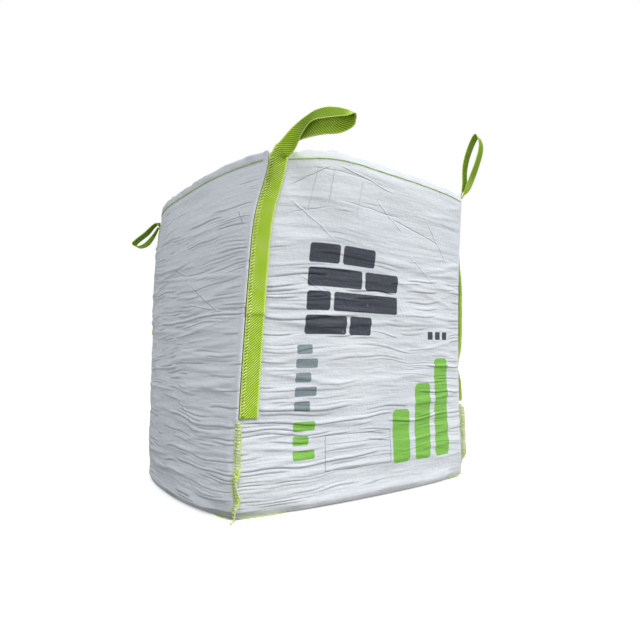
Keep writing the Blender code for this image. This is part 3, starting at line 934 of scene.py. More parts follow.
@dataclass(frozen=True)
class CornerFin:
    """The two panel edges that stand out together along a corner.

    Above the strap's foot they fold in under the strap's edge, except at the back left, and below it
    they lie over and sway.
    """

    corner: int
    seam: float = 0.0026
    gap: float = 0.0016
    cloth: float = 0.0008
    beside_strap: tuple = ((0.3, 2.2), (1.7, 4.3), (3.9, 6.2), (6.7, 7.7), (9.7, 8.5))
    foot: float = 0.272
    low_reach: float = 0.0180
    shortened: float = 0.0070
    free_angle: float = -1.0
    sways: tuple = (
        (-15.0, 5.0, 50.0, 25.0, 12.0, 62.0, 70.0, 52.0, 72.0, 60.0, 70.0),
        (40.0, 62.0, 50.0, -10.0, -22.0, -12.0, -20.0, -14.0, -20.0, -15.0, -12.0),
        (10.0, 60.0, 35.0, 62.0, 30.0, 50.0, 66.0, 40.0, 60.0, 45.0, 60.0),
        (-40.0, -62.0, -45.0, -66.0, -50.0, -60.0, -48.0, -64.0, -55.0, -62.0, -60.0),
    )

    def reach(self, height: np.ndarray) -> np.ndarray:
        """Return how far the fin's edge is from the corner, along the cloth."""
        return self.low_reach - self.shortened * smoothstep(self.foot - 0.012, self.foot + 0.012, height)

    def local(self, height: np.ndarray, share: np.ndarray) -> np.ndarray:
        """Return (along, out) distances of points at a share of the reach, from 0 to 1."""
        reach = self.reach(height)
        sway = [math.radians(value) for value in self.sways[self.corner]]
        angle = curve(sway, np.clip(height / self.foot, 0.0, 1.0))
        run = self.seam + reach * share
        lying = np.stack((np.sin(angle) * run, np.cos(angle) * run), axis=-1)
        folded = spline(np.array(self.beside_strap) / 1000.0, share)
        if self.corner == BACK_LEFT:
            folded = np.stack((np.sin(self.free_angle) * run, np.cos(self.free_angle) * run), axis=-1)
        blend = smoothstep(self.foot - 0.014, self.foot + 0.010, height)[..., None]
        return lying * (1.0 - blend) + folded * blend

    def place(self, height: np.ndarray, share: np.ndarray, aside: float, beyond: float = 0.0) -> np.ndarray:
        """Return points on the fin.

        Args:
            height: Nominal heights.
            share: Shares of the fin's reach, from 0 at the corner to 1 at the edge.
            aside: Distance from the fin's middle, towards the panel that starts here.
            beyond: Distance past the edge.

        Returns:
            An array of points, with a last axis of three.
        """
        height, share = np.broadcast_arrays(np.asarray(height, float), np.asarray(share, float))
        here = self.local(height, share)
        step = 0.04
        ahead = self.local(height, np.minimum(share + step, 1.0))
        run = ahead - self.local(height, np.maximum(share - step, 0.0))
        run = run / np.linalg.norm(run, axis=-1, keepdims=True)
        across = np.stack((run[..., 1], -run[..., 0]), axis=-1)
        here = here + across * aside + run * beyond
        zero = np.zeros(height.shape)
        outward = FORM.outward(self.corner, zero, height)
        along = np.stack((-outward[..., 1], outward[..., 0]), axis=-1)
        plan = FORM.outline(self.corner, zero, height) + along * here[..., :1] + outward * here[..., 1:]
        lift = height + FORM.rise(self.corner, zero, height)
        return np.concatenate((plan, lift[..., None]), axis=-1)


@dataclass(frozen=True)
class HemBand:
    """The folded top edge of a side panel, from the rim stitch up, and its lean on each side."""

    heights: tuple[float, ...] = (0.004, 0.009, 0.014, 0.019, 0.024, 0.0275, 0.0275, 0.022, 0.012)
    out: tuple[float, ...] = (0.0022, 0.0026, 0.0028, 0.0028, 0.0024, 0.0008, -0.0022, -0.0034, -0.0036)
    lean: tuple[float, ...] = (0.50, 0.30, 0.25, 0.14)
    waves: float = 0.0050


HEM = HemBand()
CLEARANCE = 0.0014
FLANGE = 0.0104
TUCK_UNDER = 0.0040
FOOT_HEIGHT = 0.0018
ROLL_OUT = 0.0105
ROLL_HEIGHT = 0.012
ROLL_REACH = 0.026
MAIN_CREASES = {
    Side.FRONT: (
        Crease(0.575, 0.05, 0.36, 1.0),
        Crease(0.302, 0.04, 0.34, 1.5),
        Crease(0.262, 0.03, 0.52, 1.1),
        Crease(0.425, 0.70, 0.93, 1.8),
        Crease(0.135, 0.02, 0.46, 1.3),
        Crease(0.330, 0.66, 0.93, 1.1),
        Crease(0.240, 0.52, 0.80, 1.2),
    ),
    Side.LEFT: (
        Crease(0.573, 0.38, 0.93, 1.9),
        Crease(0.270, 0.52, 0.93, 1.3),
        Crease(0.128, 0.60, 0.93, 1.4),
        Crease(0.700, 0.10, 0.50, 1.0),
        Crease(0.420, 0.05, 0.55, 1.1),
    ),
}
UNSEEN_CREASES = (Crease(0.50, 0.1, 0.6, 1.2), Crease(0.30, 0.4, 0.85, 1.2))


def base_tuck(across: np.ndarray) -> np.ndarray:
    """Return how far the base seam is tucked under the bag, from 0 at the corners to 1."""
    return smoothstep(0.11, 0.20, across) * smoothstep(0.05, 0.12, FORM.width - across)


def base_edge(tuck: np.ndarray) -> np.ndarray:
    """Return how far outside the fill the base seam lies."""
    return FLANGE * (1.0 - tuck) - TUCK_UNDER * tuck


@dataclass
class SidePanel:
    """One woven side panel with its fins, hem band and bottom flange."""

    side: Side
    finishes: Finishes
    cloth: float = 0.0008
    broad_wave: float = 0.0034
    short_wave: float = 0.0018
    fold_count: int = 110
    fins: tuple[float, ...] = (1.0, 0.75, 0.5, 0.25, 0.0)
    columns: int = field(init=False)
    creases: CreaseField = field(init=False)

    def __post_init__(self) -> None:
        """Lay out the panel's creases, closer on the two sides that the photograph shows."""
        seen = self.side in MAIN_CREASES
        front = self.side is Side.FRONT
        self.columns = 104 if seen else 86
        self.creases = CreaseField(
            seed=500 + 20 * self.side.value,
            pitch=(0.0078, 0.0150) if seen else (0.0105, 0.0195),
            calm=0.80 if front else 0.96,
            main=MAIN_CREASES.get(self.side, UNSEEN_CREASES),
            quiet=(0.70, 0.09, 0.24, 0.10) if front else (),
        )

    def relief(self, across: np.ndarray, up: np.ndarray) -> np.ndarray:
        """Return the soft part of how far the cloth stands out from the fill.

        Args:
            across: Distances from the panel's first corner.
            up: Nominal heights.

        Returns:
            Distances outward in metres.
        """
        number = self.side.value
        total = self.broad_wave + self.broad_wave * noise_field(across, up, (0.26, 0.095), 40 + 9 * number)
        total = total + self.short_wave * noise_field(across, up, (0.15, 0.036), 43 + 9 * number)
        calm = 0.72 if self.side is Side.FRONT else 0.92
        for fold in scatter_folds(100 + number, self.fold_count, FORM.width, calm):
            total = total + fold.lift(across, up)
        return np.maximum(total, 0.0)

    def calming(self, across: np.ndarray, up: np.ndarray) -> np.ndarray:
        """Return a share that flattens the cloth at its seams and under the strap."""
        sides = smoothstep(0.0, 0.014, across) * smoothstep(0.0, 0.014, FORM.width - across)
        ends = smoothstep(0.0, 0.030, up) * smoothstep(0.0, 0.020, FORM.rim - up)
        strap = (1.0 - smoothstep(0.062, 0.078, across)) * smoothstep(0.255, 0.275, up)
        return sides * ends * (1.0 - 0.97 * strap)

    def build(self) -> bpy.types.Object:
        """Return the finished panel."""
        number = self.side.value
        fractions = np.linspace(0.0, 1.0, self.columns + 1)[1:-1, None]
        line = fractions * FORM.width
        flat_up, spot_up, lift = self.creases.rows(line[:, 0])
        below = 2
        body = slice(below, below + flat_up.shape[1])
        top = slice(body.stop, body.stop + len(HEM.heights))
        across = np.broadcast_to(line, (len(line), top.stop))
        up = np.zeros(across.shape)
        up[:, body] = spot_up
        up[:, top] = FORM.rim + np.array(HEM.heights)
        above = np.maximum(up - FORM.rim, 0.0)
        rising = np.minimum(above / 0.02, 1.0)
        tuck = base_tuck(line)

        out = np.zeros(across.shape)
        level = up[:, body]
        soft = self.relief(across[:, body], level) + np.maximum(lift, -0.0005)
        out[:, body] = CLEARANCE + np.maximum(soft, 0.0) * self.calming(across[:, body], level)
        out[:, body] += tuck * np.exp(-(((level - ROLL_HEIGHT) / ROLL_REACH) ** 2)) * ROLL_OUT
        wave = noise_field(across, 0.0, (0.055, 1.0), 31 + number)
        wave = wave + 0.6 * noise_field(across, above, (0.021, 0.020), 47 + number)
        crumple = (wave * HEM.waves * rising - above * HEM.lean[number])[:, top]
        out[:, top] = CLEARANCE + np.array(HEM.out) + crumple
        out[:, :1] = base_edge(tuck)
        out[:, 1:below] = CLEARANCE * (1.0 - tuck) + 0.006 * tuck
        surface = FORM.place(number, fractions, up, out)
        surface[:, :below, 2] = FOOT_HEIGHT - 0.0006 * tuck
        surface[..., 2] += noise_field(across, 0.0, (0.085, 1.0), 61 + number) * 0.0040 * rising

        edge = len(self.fins)
        main = slice(edge, edge + len(line))
        places = np.zeros((len(line) + 2 * edge, top.stop, 3))
        flat = np.zeros((*places.shape[:2], 2))
        places[main] = surface
        flat[main, :, 0] = across - FORM.half_width
        flat[main, 0, 1] = -0.009
        flat[main, body, 1] = flat_up
        flat[main, top, 1] = FORM.rim + np.linspace(0.004, 0.044, len(HEM.heights))
        for starts, turn in ((True, 1.0), (False, -1.0)):
            fin = CornerFin(number if starts else (number + 1) % 4)
            heights = np.minimum(up[0 if starts else -1], FORM.rim + FORM.hem)
            for index, part in enumerate(self.fins):
                column = index if starts else -1 - index
                places[column] = fin.place(heights, part, (fin.cloth + fin.gap) / 2.0 * turn)
                places[column, :below, 2] = FOOT_HEIGHT
                places[column, -3:] = places[column, -4]
                flat[column, :, 0] = -turn * (FORM.half_width + part * 0.020 + fin.seam)
                flat[column, :, 1] = flat[edge if starts else -1 - edge, :, 1]
        name = SIDE_NAMES[number]
        material = self.finishes.printed if self.side is Side.FRONT else self.finishes.cloth
        obj = grid_sheet(f"side_panel_cloth_{name}", places, flat, material)
        close_gaps(obj)
        normal = FORM.outward(number, np.array(0.5), np.array(0.5))
        face_out(obj, Vector((float(normal[0]), float(normal[1]), 0.0)))
        thicken(obj, self.cloth)
        declare(obj, "woven_cloth", f"side_panel_{name}")
        return obj


def square_rings(steps: int) -> tuple[np.ndarray, np.ndarray, np.ndarray, list[tuple]]:
    """Lay out a square grid in rings round its middle.

    Args:
        steps: Number of cells along one side.

    Returns:
        The points across and up from -1 to 1, how far out they are from 0 to 1, and for each side of
        the bag its number, its part of the points and their fractions along it.
    """
    axis = np.linspace(-1.0, 1.0, steps + 1)
    x, y = np.meshgrid(axis, axis, indexing="ij")
    reach = np.maximum(np.abs(x), np.abs(y))
    safe = np.maximum(reach, 1e-9)
    facing_y = np.abs(y) >= np.abs(x)
    sides = [
        (0, facing_y & (y < 0), (x / safe + 1.0) / 2.0),
        (1, ~facing_y & (x > 0), (y / safe + 1.0) / 2.0),
        (2, facing_y & (y >= 0), (1.0 - x / safe) / 2.0),
        (3, ~facing_y & (x <= 0), (1.0 - y / safe) / 2.0),
    ]
    return x, y, reach, sides


@dataclass
class TopSkirt:
    """The woven closure laid over the mix, turned up inside the hem band."""

    finishes: Finishes
    steps: int = 150
    wall: int = 4
    wall_height: float = 0.020
    inset: float = 0.0075
    drop: float = 0.0005
    cloth: float = 0.0008

    def ridges(self) -> list[tuple[float, ...]]:
        """Return the folds as middle across and up, direction, length, height and width."""
        pick = random.Random(77)
        made = []
        for _ in range(46):
            turn = pick.uniform(0.0, math.pi)
            spot = (pick.uniform(-0.36, 0.36), pick.uniform(-0.36, 0.36))
            size = (pick.uniform(0.16, 0.50), pick.uniform(0.004, 0.013), pick.uniform(0.008, 0.020))
            made.append((*spot, turn, *size))
        made.append((-0.230, -0.440, 0.05, 0.26, 0.044, 0.016))
        made.append((-0.130, -0.455, -0.25, 0.16, 0.038, 0.012))
        made.append((-0.020, -0.460, 0.10, 0.20, 0.022, 0.012))
        made.append((-0.415, -0.10, 1.5, 0.30, 0.020, 0.014))
        return made

    def build(self) -> bpy.types.Object:
        """Return the finished skirt."""
        x, y, reach, sides = square_rings(self.steps)
        ring = np.rint(reach * (self.steps / 2)).astype(int)
        flat_rings = self.steps // 2 - self.wall
        lying = np.minimum(ring, flat_rings) / flat_rings
        step_up = np.maximum(ring - flat_rings, 0) / self.wall
        centre = FORM.centre(FORM.rim)
        places = np.zeros((*x.shape, 3))
        for number, chosen, fraction in sides:
            inset = -self.inset - step_up * self.wall_height * HEM.lean[number]
            edge = FORM.place(number, fraction, FORM.rim, inset)
            plan = centre + (edge[..., :2] - centre) * lying[..., None]
            rise = (edge[..., 2] - FORM.rim) * lying
            places[chosen] = np.concatenate((plan, rise[..., None]), axis=-1)[chosen]
        spread = (places[..., 0], places[..., 1])
        lift = 0.006 * np.abs(noise_field(*spread, (0.10, 0.10), 5))
        for middle_x, middle_y, turn, length, height, width in self.ridges():
            away_x, away_y = spread[0] - middle_x, spread[1] - middle_y
            run = away_x * math.cos(turn) + away_y * math.sin(turn)
            aside = away_y * math.cos(turn) - away_x * math.sin(turn)
            aside = aside + 0.012 * np.sin(run * 19.0 + turn * 5.0)
            taper = np.cos(np.clip(run / length, -0.5, 0.5) * math.pi)
            lift = lift + height * taper * np.exp(-((aside / width) ** 2))
        lift = lift + 0.0012 * noise_field(*spread, (0.014, 0.014), 9)
        wavy = 0.0030 * noise_field(*spread, (0.03, 0.03), 15)
        places[..., 2] += FORM.rim - self.drop + FORM.crown * (1.0 - lying**2)
        places[..., 2] += lift * smoothstep(1.0, 0.93, lying) + step_up * (self.wall_height + wavy)
        flat = np.stack((x, y), axis=-1) * 0.50
        obj = grid_sheet("top_skirt_cloth", places, flat, self.finishes.cloth)
        face_out(obj, Vector((0.0, 0.0, 1.0)))
        thicken(obj, self.cloth)
        declare(obj, "woven_cloth", "top_skirt")
        return obj


@dataclass
class BasePanel:
    """The woven bottom, flat on the floor."""

    finishes: Finishes
    steps: int = 60
    cloth: float = 0.0006

    def build(self) -> bpy.types.Object:
        """Return the finished base panel."""
        x, y, reach, sides = square_rings(self.steps)
        centre = FORM.centre(0.0)
        places = np.full((*x.shape, 3), self.cloth / 2.0)
        for number, chosen, fraction in sides:
            edge = FORM.place(number, fraction, 0.0, base_edge(base_tuck(fraction * FORM.width)))
            places[chosen, :2] = (centre + (edge[..., :2] - centre) * reach[..., None])[chosen]
        flat = np.stack((x, y), axis=-1) * FORM.half_width
        obj = grid_sheet("base_panel_cloth", places, flat, self.finishes.cloth)
        face_out(obj, Vector((0.0, 0.0, -1.0)))
        thicken(obj, self.cloth)
        declare(obj, "woven_cloth", "base_panel")
        return obj


Station = tuple[Vector, Vector]
FLAT_EDGE = (0.002,) * 12


@dataclass
class LiftLoop:
    """One strap: sewn up beside its corner, round the free loop and down over itself.

    Each row of its path is along, out and up in millimetres from the strap's place at the rim, and
    the direction across the webbing there. For each corner, lifts holds how far the strap's near edge
    stands up from its foot to the rim, and kinks holds the height and the rise of each crease across.
    """

    corner: int
    leaves_at: float
    path: tuple[tuple[float, ...], ...]
    finishes: Finishes
    width: float = 0.053
    aside: float = 0.0022
    webbing: float = 0.0020
    gap: float = 0.0006
    foot: float = 0.280
    first_out: float = 0.0040
    lifts: tuple[tuple[float, ...], ...] = (
        FLAT_EDGE,
        (0.018, 0.016, 0.000, 0.019, 0.024, 0.024, 0.022, 0.012, 0.002, 0.001, 0.001, 0.002),
        (0.004, 0.008, 0.012, 0.003, 0.002, 0.008, 0.010, 0.006, 0.002, 0.002, 0.002, 0.002),
        FLAT_EDGE,
    )
    kinks: tuple = (
        ((0.583, 0.0052),),
        ((0.425, 0.0045), (0.75, 0.002)),
        ((0.55, 0.003),),
        ((0.55, 0.003),),
    )
    loop_steps: int = 12
    columns: int = 7

    def beside_corner(self, height: np.ndarray) -> tuple[np.ndarray, np.ndarray, np.ndarray]:
        """Return the middle of the strap's place, and the along and outward directions."""
        near, far = [
            FORM.outline(self.corner, np.full(np.shape(height), column), height)
            for column in FORM.strap_columns
        ]
        along = far - near
        along = along / np.linalg.norm(along, axis=-1, keepdims=True)
        outward = np.stack((along[..., 1], -along[..., 0]), axis=-1)
        return (near + far) / 2.0 + along * self.aside, along, outward

    def sewn(self, out: float) -> list[Station]:
        """Return stations of (centre, direction across) up the sewn part."""
        top = FORM.rim + self.leaves_at
        heights = np.linspace(self.foot, top, round((top - self.foot) / 0.0045) + 1)
        middle, along, outward = self.beside_corner(np.minimum(heights, FORM.rim))
        ripple = 0.0006 + 0.0011 * noise_field(heights, self.corner * 3.3, (0.045, 1.0), 71)
        for level, push in self.kinks[self.corner]:
            over = np.exp(-np.maximum(heights - level, 0.0) / 0.022)
            ripple = ripple + push * over * smoothstep(level - 0.005, level, heights)
        ripple = np.maximum(ripple, 0.0)
        lifted = curve(self.lifts[self.corner], (heights - self.foot) / (FORM.rim - self.foot))
        half = along * self.width / 2.0
        near = middle - half + outward * (out + lifted + ripple)[:, None]
        far = middle + half + outward * (out + ripple)[:, None]
        lift = heights + FORM.rise(self.corner, np.full(heights.shape, FORM.strap_columns[0]), heights)
        stations = []
        for first, last, level in zip(near, far, lift):
            across = Vector((*(last - first), 0.0)).normalized()
            stations.append((Vector((*last, float(level))) - across * self.width / 2.0, across))
        return stations

    def free(self) -> list[Station]:
        """Return stations round the free part of the loop."""
        rim = np.array(FORM.rim)
        middle, along, outward = self.beside_corner(rim)
        axes = (Vector((*along, 0.0)), Vector((*outward, 0.0)), Vector((0.0, 0.0, 1.0)))
        rise = FORM.rise(self.corner, np.array(FORM.strap_columns[0]), rim)
        origin = Vector((*middle, FORM.rim + float(rise)))
        steps = (len(self.path) - 1) * self.loop_steps
        fraction = np.linspace(0.0, 1.0, steps + 1)
        rows = np.array(self.path)

        def world(local: np.ndarray) -> Vector:
            """Turn along, out and up into the shared frame."""
            return axes[0] * float(local[0]) + axes[1] * float(local[1]) + axes[2] * float(local[2])

        centres = [origin + world(spot) for spot in spline(rows[:, :3] / 1000.0, fraction)]
        stations = []
        for index, (centre, turn) in enumerate(zip(centres, spline(rows[:, 3:], fraction))):
            tangent = (centres[min(index + 1, steps)] - centres[max(index - 1, 0)]).normalized()
            across = world(turn)
            stations.append((centre, (across - tangent * across.dot(tangent)).normalized()))
        return stations

    def outer(self) -> list[Station]:
        """Return stations up the outer sewn end, which the seams hold down."""
        return self.sewn(self.first_out + self.webbing + self.gap)

    def stitch(self, stations: list[Station]) -> None:
        """Sew the strap down along its far edge."""
        work = ThreadWork()
        _, _, outward = self.beside_corner(np.array(0.6))
        proud = Vector((float(outward[0]), float(outward[1]), 0.0)) * (self.webbing / 2.0 + 0.0005)
        for (centre, across), (beyond, _) in zip(stations[:-2:2], stations[1::2]):
            offset = across * 0.505 * self.width + proud * 0.4
            work.add(Strand.ROD, centre + offset, beyond + offset, 0.0010, 0.0010)
        work.join(f"strap_stitches_{CORNER_NAMES[self.corner]}", self.finishes.white_thread)

    def build(self) -> bpy.types.Object:
        """Return the finished strap."""
        outer = self.outer()
        stations = outer + self.free() + self.sewn(self.first_out)[::-1]
        self.stitch(outer)
        places = np.zeros((self.columns, len(stations), 3))
        flat = np.zeros((self.columns, len(stations), 2))
        along = 0.0
        for row, (centre, across) in enumerate(stations):
            if row:
                along += (centre - stations[row - 1][0]).length
            for column in range(self.columns):
                aside = (column / (self.columns - 1) - 0.5) * self.width
                places[column, row] = centre + across * aside
                flat[column, row] = (aside, along)
        name = CORNER_NAMES[self.corner]
        obj = grid_sheet(f"lift_loop_webbing_{name}", places, flat, self.finishes.webbing)
        thicken(obj, self.webbing * 0.9)
        bevel = obj.modifiers.new("soft_edges", "BEVEL")
        bevel.width = 0.0004
        bevel.segments = 1
        bevel.limit_method = "ANGLE"
        declare(obj, "lime_webbing", f"lift_loop_{name}")
        return obj


@dataclass
class CornerOverlock:
    """The thread that binds the edge of a corner fin, and above its foot the strap's edge too.

    Each knot of the front left seam is a height, how far its ends spread and how many ends it has.
    """

    corner: int
    loop: LiftLoop
    finishes: Finishes
    radius: float = 0.0013
    pitches: tuple[float, ...] = (0.0090, 0.0105, 0.0090, 0.0090)
    fin_leg: float = 0.0155
    strap_leg: float = 0.0104
    knot_end: float = 0.006
    tail_end: float = 0.003
    knots: tuple = ((0.130, 0.004, 16), (0.118, 0.006, 16), (0.056, 0.005, 18))

    def along_fin(self, work: ThreadWork) -> np.ndarray:
        """Stitch the free fin below the strap's foot, and return the points of its edge."""
        fin = CornerFin(self.corner)
        pitch = self.pitches[self.corner]
        half = (fin.cloth + fin.gap) / 2.0 + fin.cloth / 2.0 + self.radius * 0.8
        pick = random.Random(900 + self.corner)
        levels = np.arange(0.006, fin.foot, pitch)
        levels = levels + np.array([pick.uniform(-0.0012, 0.0012) for _ in levels])
        leg = self.fin_leg / fin.reach(levels)
        edge = fin.place(levels, 1.0, 0.0, self.radius)
        for aside in (-half, half):
            inner = fin.place(levels + pitch * 0.15, 1.0 - leg, aside)
            outer = fin.place(levels, 0.97, aside)
            for start, bend, end in zip(inner, outer, edge):
                work.line(Strand.ROD, [start, bend, end], self.radius, self.radius)
            for start, end, bend in zip(inner[:-1], inner[1:], outer[1:]):
                work.add(Strand.ROD, start, end, self.radius * 0.6, self.radius)
                work.add(Strand.ROD, start, bend, self.radius * 0.6, 0.0)
        work.line(Strand.LINK, list(edge), self.radius * 1.3, pitch * 0.3)
        for level, spread, count in self.knots if self.corner == FRONT_LEFT else ():
            spot = Vector(fin.place(np.array([level]), 0.85, 0.0)[0])
            for _ in range(count):
                offset = Vector([pick.uniform(-1.0, 1.0) for _ in range(3)]) * spread
                turn = Vector([pick.uniform(-1.0, 1.0) for _ in range(3)]).normalized() * self.knot_end
                work.add(Strand.ROD, spot + offset - turn, spot + offset + turn, self.radius * 0.9, 0.0)
        return edge

    def along_strap(self, work: ThreadWork) -> list[Vector]:
        """Stitch the strap's edge down, and return the points of that edge."""
        inner, outer, under = [], [], []
        for centre, across in self.loop.outer()[1::2]:
            proud = Vector((across.y, -across.x, 0.0))
            edge = centre - across * (self.loop.width / 2.0 + self.radius)
            inner.append(centre - across * (self.loop.width / 2.0 - self.strap_leg) + proud * 0.0021)
            outer.append(edge + across * 0.0006 + proud * 0.0016)
            under.append(edge - proud * 0.0034)
        for start, bend, end in zip(inner[1:], outer, under):
            work.line(Strand.ROD, [start, bend, end], self.radius * 1.3, self.radius)
        work.line(Strand.ROD, inner, self.radius * 0.5, self.radius)
        work.line(Strand.LINK, outer, self.radius * 1.2, 0.0030)
        return outer

    def tails(self, foot: Vector, head: Vector) -> list[list[Vector]]:
        """Return the chains that hang past the foot and the head of the seam."""
        away = Vector((foot.x, foot.y, 0.0)).normalized()
        aside = Vector((-away.y, away.x, 0.0))
        down = []
        for step in range(8 if self.corner == FRONT_LEFT else 3):
            spot = foot + away * 0.004 * step + aside * 0.002 * math.sin(step * 1.3)
            spot.z = max(0.0022, foot.z - 0.0022 * step)
            down.append(spot)
        up = Vector((0.0, 0.0, 0.004))
        return [down, [head + up * step - away * 0.0012 * step * step for step in range(4)]]

    def build(self) -> bpy.types.Object:
        """Return the finished stitches."""
        work = ThreadWork()
        foot = Vector(self.along_fin(work)[0])
        head = self.along_strap(work)[-1]
        pick = random.Random(950 + self.corner)
        for tail in self.tails(foot, head):
            work.line(Strand.LINK, tail, self.radius * 1.15, 0.0024)
            for here in tail[1:-1]:
                side = Vector([pick.uniform(*limits) for limits in ((-1, 1), (-1, 1), (-0.2, 0.5))])
                side = side.normalized() * self.tail_end
                work.add(Strand.ROD, here - side, here + side, self.radius * 0.8, 0.0)
        return work.finish("corner_overlock", CORNER_NAMES[self.corner], self.finishes.thread)


@dataclass
class RimStitch:
    """The chain stitch under the hem band of one side."""

    side: int
    finishes: Finishes
    pitch: float = 0.0085
    radius: float = 0.0015
    first: float = 0.078
    last: float = 0.994

    def build(self) -> bpy.types.Object:
        """Return the finished stitches."""
        count = round(FORM.width * (self.last - self.first) / self.pitch)
        fractions = np.linspace(self.first, self.last, count + 1)
        wave = 0.0012 * noise_field(fractions * 0.9, 0.0, (0.05, 1.0), 80 + self.side)
        spots = FORM.place(self.side, fractions, FORM.rim + wave, CLEARANCE + 0.0004 + self.radius * 0.9)
        work = ThreadWork()
        work.line(Strand.LINK, list(spots), self.radius, self.pitch * 0.28)
        work.line(Strand.ROD, list(spots), self.radius * 0.55, 0.0)
        return work.finish("rim_chain_stitch", SIDE_NAMES[self.side], self.finishes.seam)


@dataclass
class BaseOverlock:
    """The thread along one edge of the base seam."""

    side: int
    finishes: Finishes
    pitch: float = 0.0080
    radius: float = 0.0010
    leg: float = 0.0080

    def build(self) -> bpy.types.Object:
        """Return the finished stitches."""
        fractions = np.linspace(0.012, 0.988, round(0.87 / self.pitch) + 1)
        tuck = base_tuck(fractions * FORM.width)
        edge = base_edge(tuck)
        outer = FORM.place(self.side, fractions, 0.0, edge + self.radius * 0.5)
        inner = FORM.place(self.side, fractions, 0.0, edge - self.leg * (1.0 - tuck))
        rim = FORM.place(self.side, fractions, 0.0, edge + self.radius * 1.4)
        outer[:, 2] = inner[:, 2] = 0.0032 * (1.0 - tuck) + 0.0011 * tuck
        rim[:, 2] = 0.0017
        work = ThreadWork()
        for index, hidden in enumerate(tuck[:-1]):
            if hidden < 0.9:
                work.add(Strand.ROD, inner[index], outer[index], self.radius, self.radius)
            slim = self.radius * (1.55 - 0.9 * hidden)
            work.add(Strand.LINK, rim[index], rim[index + 1], slim, self.pitch * 0.3)
        return work.finish("base_overlock", SIDE_NAMES[self.side], self.finishes.thread)


LOOPS = {
    FRONT_LEFT: (0.012, (
        (11, 17, 26, 0.85, 0.3, -0.42), (27, 28, 44, 0.69, 0.38, -0.62),
        (47, 59, 73, 0.36, 0.69, -0.63), (70, 89, 96, 0.13, 0.82, -0.56),
        (90, 109, 106, -0.01, 0.69, -0.72), (115, 126, 108, -0.07, 0.57, -0.82),
        (145, 141, 106, -0.13, 0.62, -0.78), (172, 153, 101, -0.19, 0.74, -0.65),
        (191, 160, 98, -0.3, 0.84, -0.45), (190, 158, 93, -0.2, 0.6, -0.75),
        (179, 151, 85, -0.05, 0.15, -0.98), (149, 141, 71, -0.02, -0.05, -1),
        (110, 121, 71, -0.07, -0.06, -1), (76, 83, 72, -0.17, -0.01, -0.99),
        (53, 42, 70, -0.08, 0.34, -0.94), (35, 8, 53, 0.26, 0.5, -0.83),
        (10, 9, 32, 0.98, 0.12, -0.12),
    )),
    FRONT_RIGHT: (0.012, (
        (-2, 34, 32, 0.95, 0.3, 0), (-24, 46, 66, 0.67, 0.74, 0),
        (-52, 72, 156, 0.67, 0.74, 0), (-60, 84, 217, 0.67, 0.74, 0),
        (-55, 76, 257, 0.67, 0.74, 0), (-46, 64, 251, 0.67, 0.74, 0),
        (-32, 44, 195, 0.67, 0.74, 0), (-25, 32, 137, 0.67, 0.74, 0),
        (-18, 32, 74, 0.7, 0.7, 0), (-1, 27, 38, 0.96, 0.28, 0),
    )),
    BACK_RIGHT: (0.012, (
        (4, 12, 34, 1, 0, 0), (18, 36, 80, 1, 0, -0.15),
        (40, 60, 142, 0.95, 0, -0.25), (60, 64, 205, 0.95, 0, -0.25),
        (68, 44, 240, 0.95, 0, -0.2), (64, 16, 232, 0.95, 0, -0.2),
        (50, -8, 185, 0.95, 0, -0.25), (30, -16, 125, 0.95, 0, -0.25),
        (12, -10, 75, 1, 0, -0.1), (2, 4.5, 38, 1, 0, 0),
    )),
    BACK_LEFT: (-0.056, (
        (4, 18, -46, 1, 0, 0), (-6, 38, -82, 0.98, 0.15, 0),
        (-16, 66, -116, 0.95, 0.3, 0), (-28, 98, -127, 0.95, 0.3, 0),
        (-34, 116, -116, 0.95, 0.3, 0), (-30, 104, -100, 0.95, 0.3, 0),
        (-16, 66, -70, 0.95, 0.3, 0), (-6, 38, -40, 0.98, 0.15, 0),
        (4, 18, -26, 1, 0, 0),
    )),
}


@dataclass
class BulkBag:
    """The whole bag."""

    finishes: Finishes

    def build(self) -> None:
        """Build every piece and dress the loose mix."""
        fill = frame["nodes"]["hemp_mix_fill"]
        for slot in fill.material_slots:
            slot.material = self.finishes.mix
        BasePanel(self.finishes).build()
        TopSkirt(self.finishes).build()
        for side in Side:
            SidePanel(side, self.finishes).build()
        for corner, (leaves_at, path) in LOOPS.items():
            loop = LiftLoop(corner, leaves_at, path, self.finishes)
            loop.build()
            CornerOverlock(corner, loop, self.finishes).build()
            RimStitch(corner, self.finishes).build()
            BaseOverlock(corner, self.finishes).build()


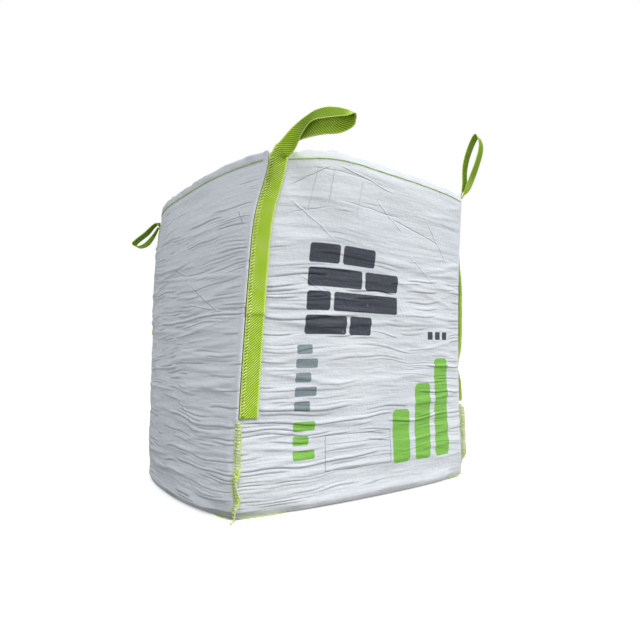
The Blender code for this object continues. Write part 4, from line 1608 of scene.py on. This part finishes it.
@dataclass(frozen=True)
class Studio:
    """Floor, lights and camera."""

    camera_place: tuple[float, float, float] = (-1.188, -1.913, 0.4641)
    azimuth: float = 34.01
    pitch: float = 3.41
    roll: float = -0.36
    lens: float = 31.63
    seen_floor: Colour = (0.60, 0.60, 0.60)
    floor_glow: float = 0.55
    bounce_floor: Colour = (0.40, 0.39, 0.38)
    sky: Colour = (0.88, 0.94, 1.0)
    sky_strength: float = 0.45

    def soft_light(self, name: str, towards: tuple, spread: float, strength: float, tint: Colour) -> None:
        """Add a distant softbox that lights everything evenly from one direction.

        Args:
            name: Name of the lamp.
            towards: Direction from the bag to the lamp.
            spread: Angle in degrees that the lamp fills, which softens its shadows.
            strength: Light it throws on a surface that faces it, in watts per square metre.
            tint: Colour of its light.
        """
        data = bpy.data.lights.new(name, "SUN")
        data.angle = math.radians(spread)
        data.energy = strength
        data.color = tint
        lamp = bpy.data.objects.new(name, data)
        turn = Vector(towards).to_track_quat("Z", "Y").to_matrix().to_4x4()
        lamp.matrix_world = Matrix.Translation(Vector(towards).normalized() * 4.0) @ turn
        bpy.context.scene.collection.objects.link(lamp)

    def floor(self) -> None:
        """Lay the floor, which is paler to the eye than in the light it throws back."""
        bm = bmesh.new()
        bmesh.ops.create_grid(bm, x_segments=1, y_segments=1, size=14.0)
        material = bpy.data.materials.new("pale_floor")
        material.use_nodes = True
        graph = Graph(material.node_tree)
        inputs = material.node_tree.nodes["Principled BSDF"].inputs
        seen = graph.value("LightPath", {}, "Is Camera Ray")
        graph.feed(inputs["Base Color"], graph.mix(seen, self.bounce_floor, self.seen_floor))
        graph.feed(inputs["Emission Strength"], seen * self.floor_glow)
        graph.feed(inputs["Emission Color"], WHITE)
        graph.feed(inputs["Roughness"], 0.9)
        finish_piece("floor", bm, material)

    def surroundings(self) -> None:
        """Light the bag from a dim sky that looks white behind it."""
        world = bpy.data.worlds.new("studio")
        world.use_nodes = True
        graph = Graph(world.node_tree)
        inputs = world.node_tree.nodes["Background"].inputs
        seen = graph.value("LightPath", {}, "Is Camera Ray")
        graph.feed(inputs["Color"], graph.mix(seen, self.sky, WHITE))
        strength = graph.math("MULTIPLY_ADD", seen, 1.0 - self.sky_strength, self.sky_strength)
        graph.feed(inputs["Strength"], strength)
        bpy.context.scene.world = world

    def camera(self) -> None:
        """Stand the camera where the photograph was taken."""
        data = bpy.data.cameras.new("photo_camera")
        data.lens = self.lens
        data.sensor_width = 36.0
        camera = bpy.data.objects.new("photo_camera", data)
        turn = Matrix.Rotation(-math.radians(self.azimuth), 4, "Z")
        turn = turn @ Matrix.Rotation(math.radians(90.0 + self.pitch), 4, "X")
        turn = turn @ Matrix.Rotation(math.radians(self.roll), 4, "Z")
        camera.matrix_world = Matrix.Translation(self.camera_place) @ turn
        bpy.context.scene.collection.objects.link(camera)
        bpy.context.scene.camera = camera

    def build(self) -> None:
        """Build the floor, the lights and the camera."""
        self.floor()
        self.surroundings()
        self.soft_light("top_softbox", (-0.35, -0.40, 1.0), 28.0, 1.35, (0.98, 0.99, 1.0))
        self.soft_light("key_softbox", (0.50, -0.70, 0.55), 9.0, 1.72, (1.0, 0.995, 0.98))
        self.soft_light("back_softbox", (0.50, 0.80, 0.70), 30.0, 0.7, (1.0, 0.99, 0.98))
        self.camera()
        bpy.context.scene.view_settings.view_transform = "Standard"


def main() -> None:
    """Build the bag and the studio."""
    logging.basicConfig(level=logging.INFO, format="%(name)s %(message)s")
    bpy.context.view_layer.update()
    BulkBag(Finishes()).build()
    Studio().build()
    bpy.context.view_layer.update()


if __name__ == "__main__":
    main()
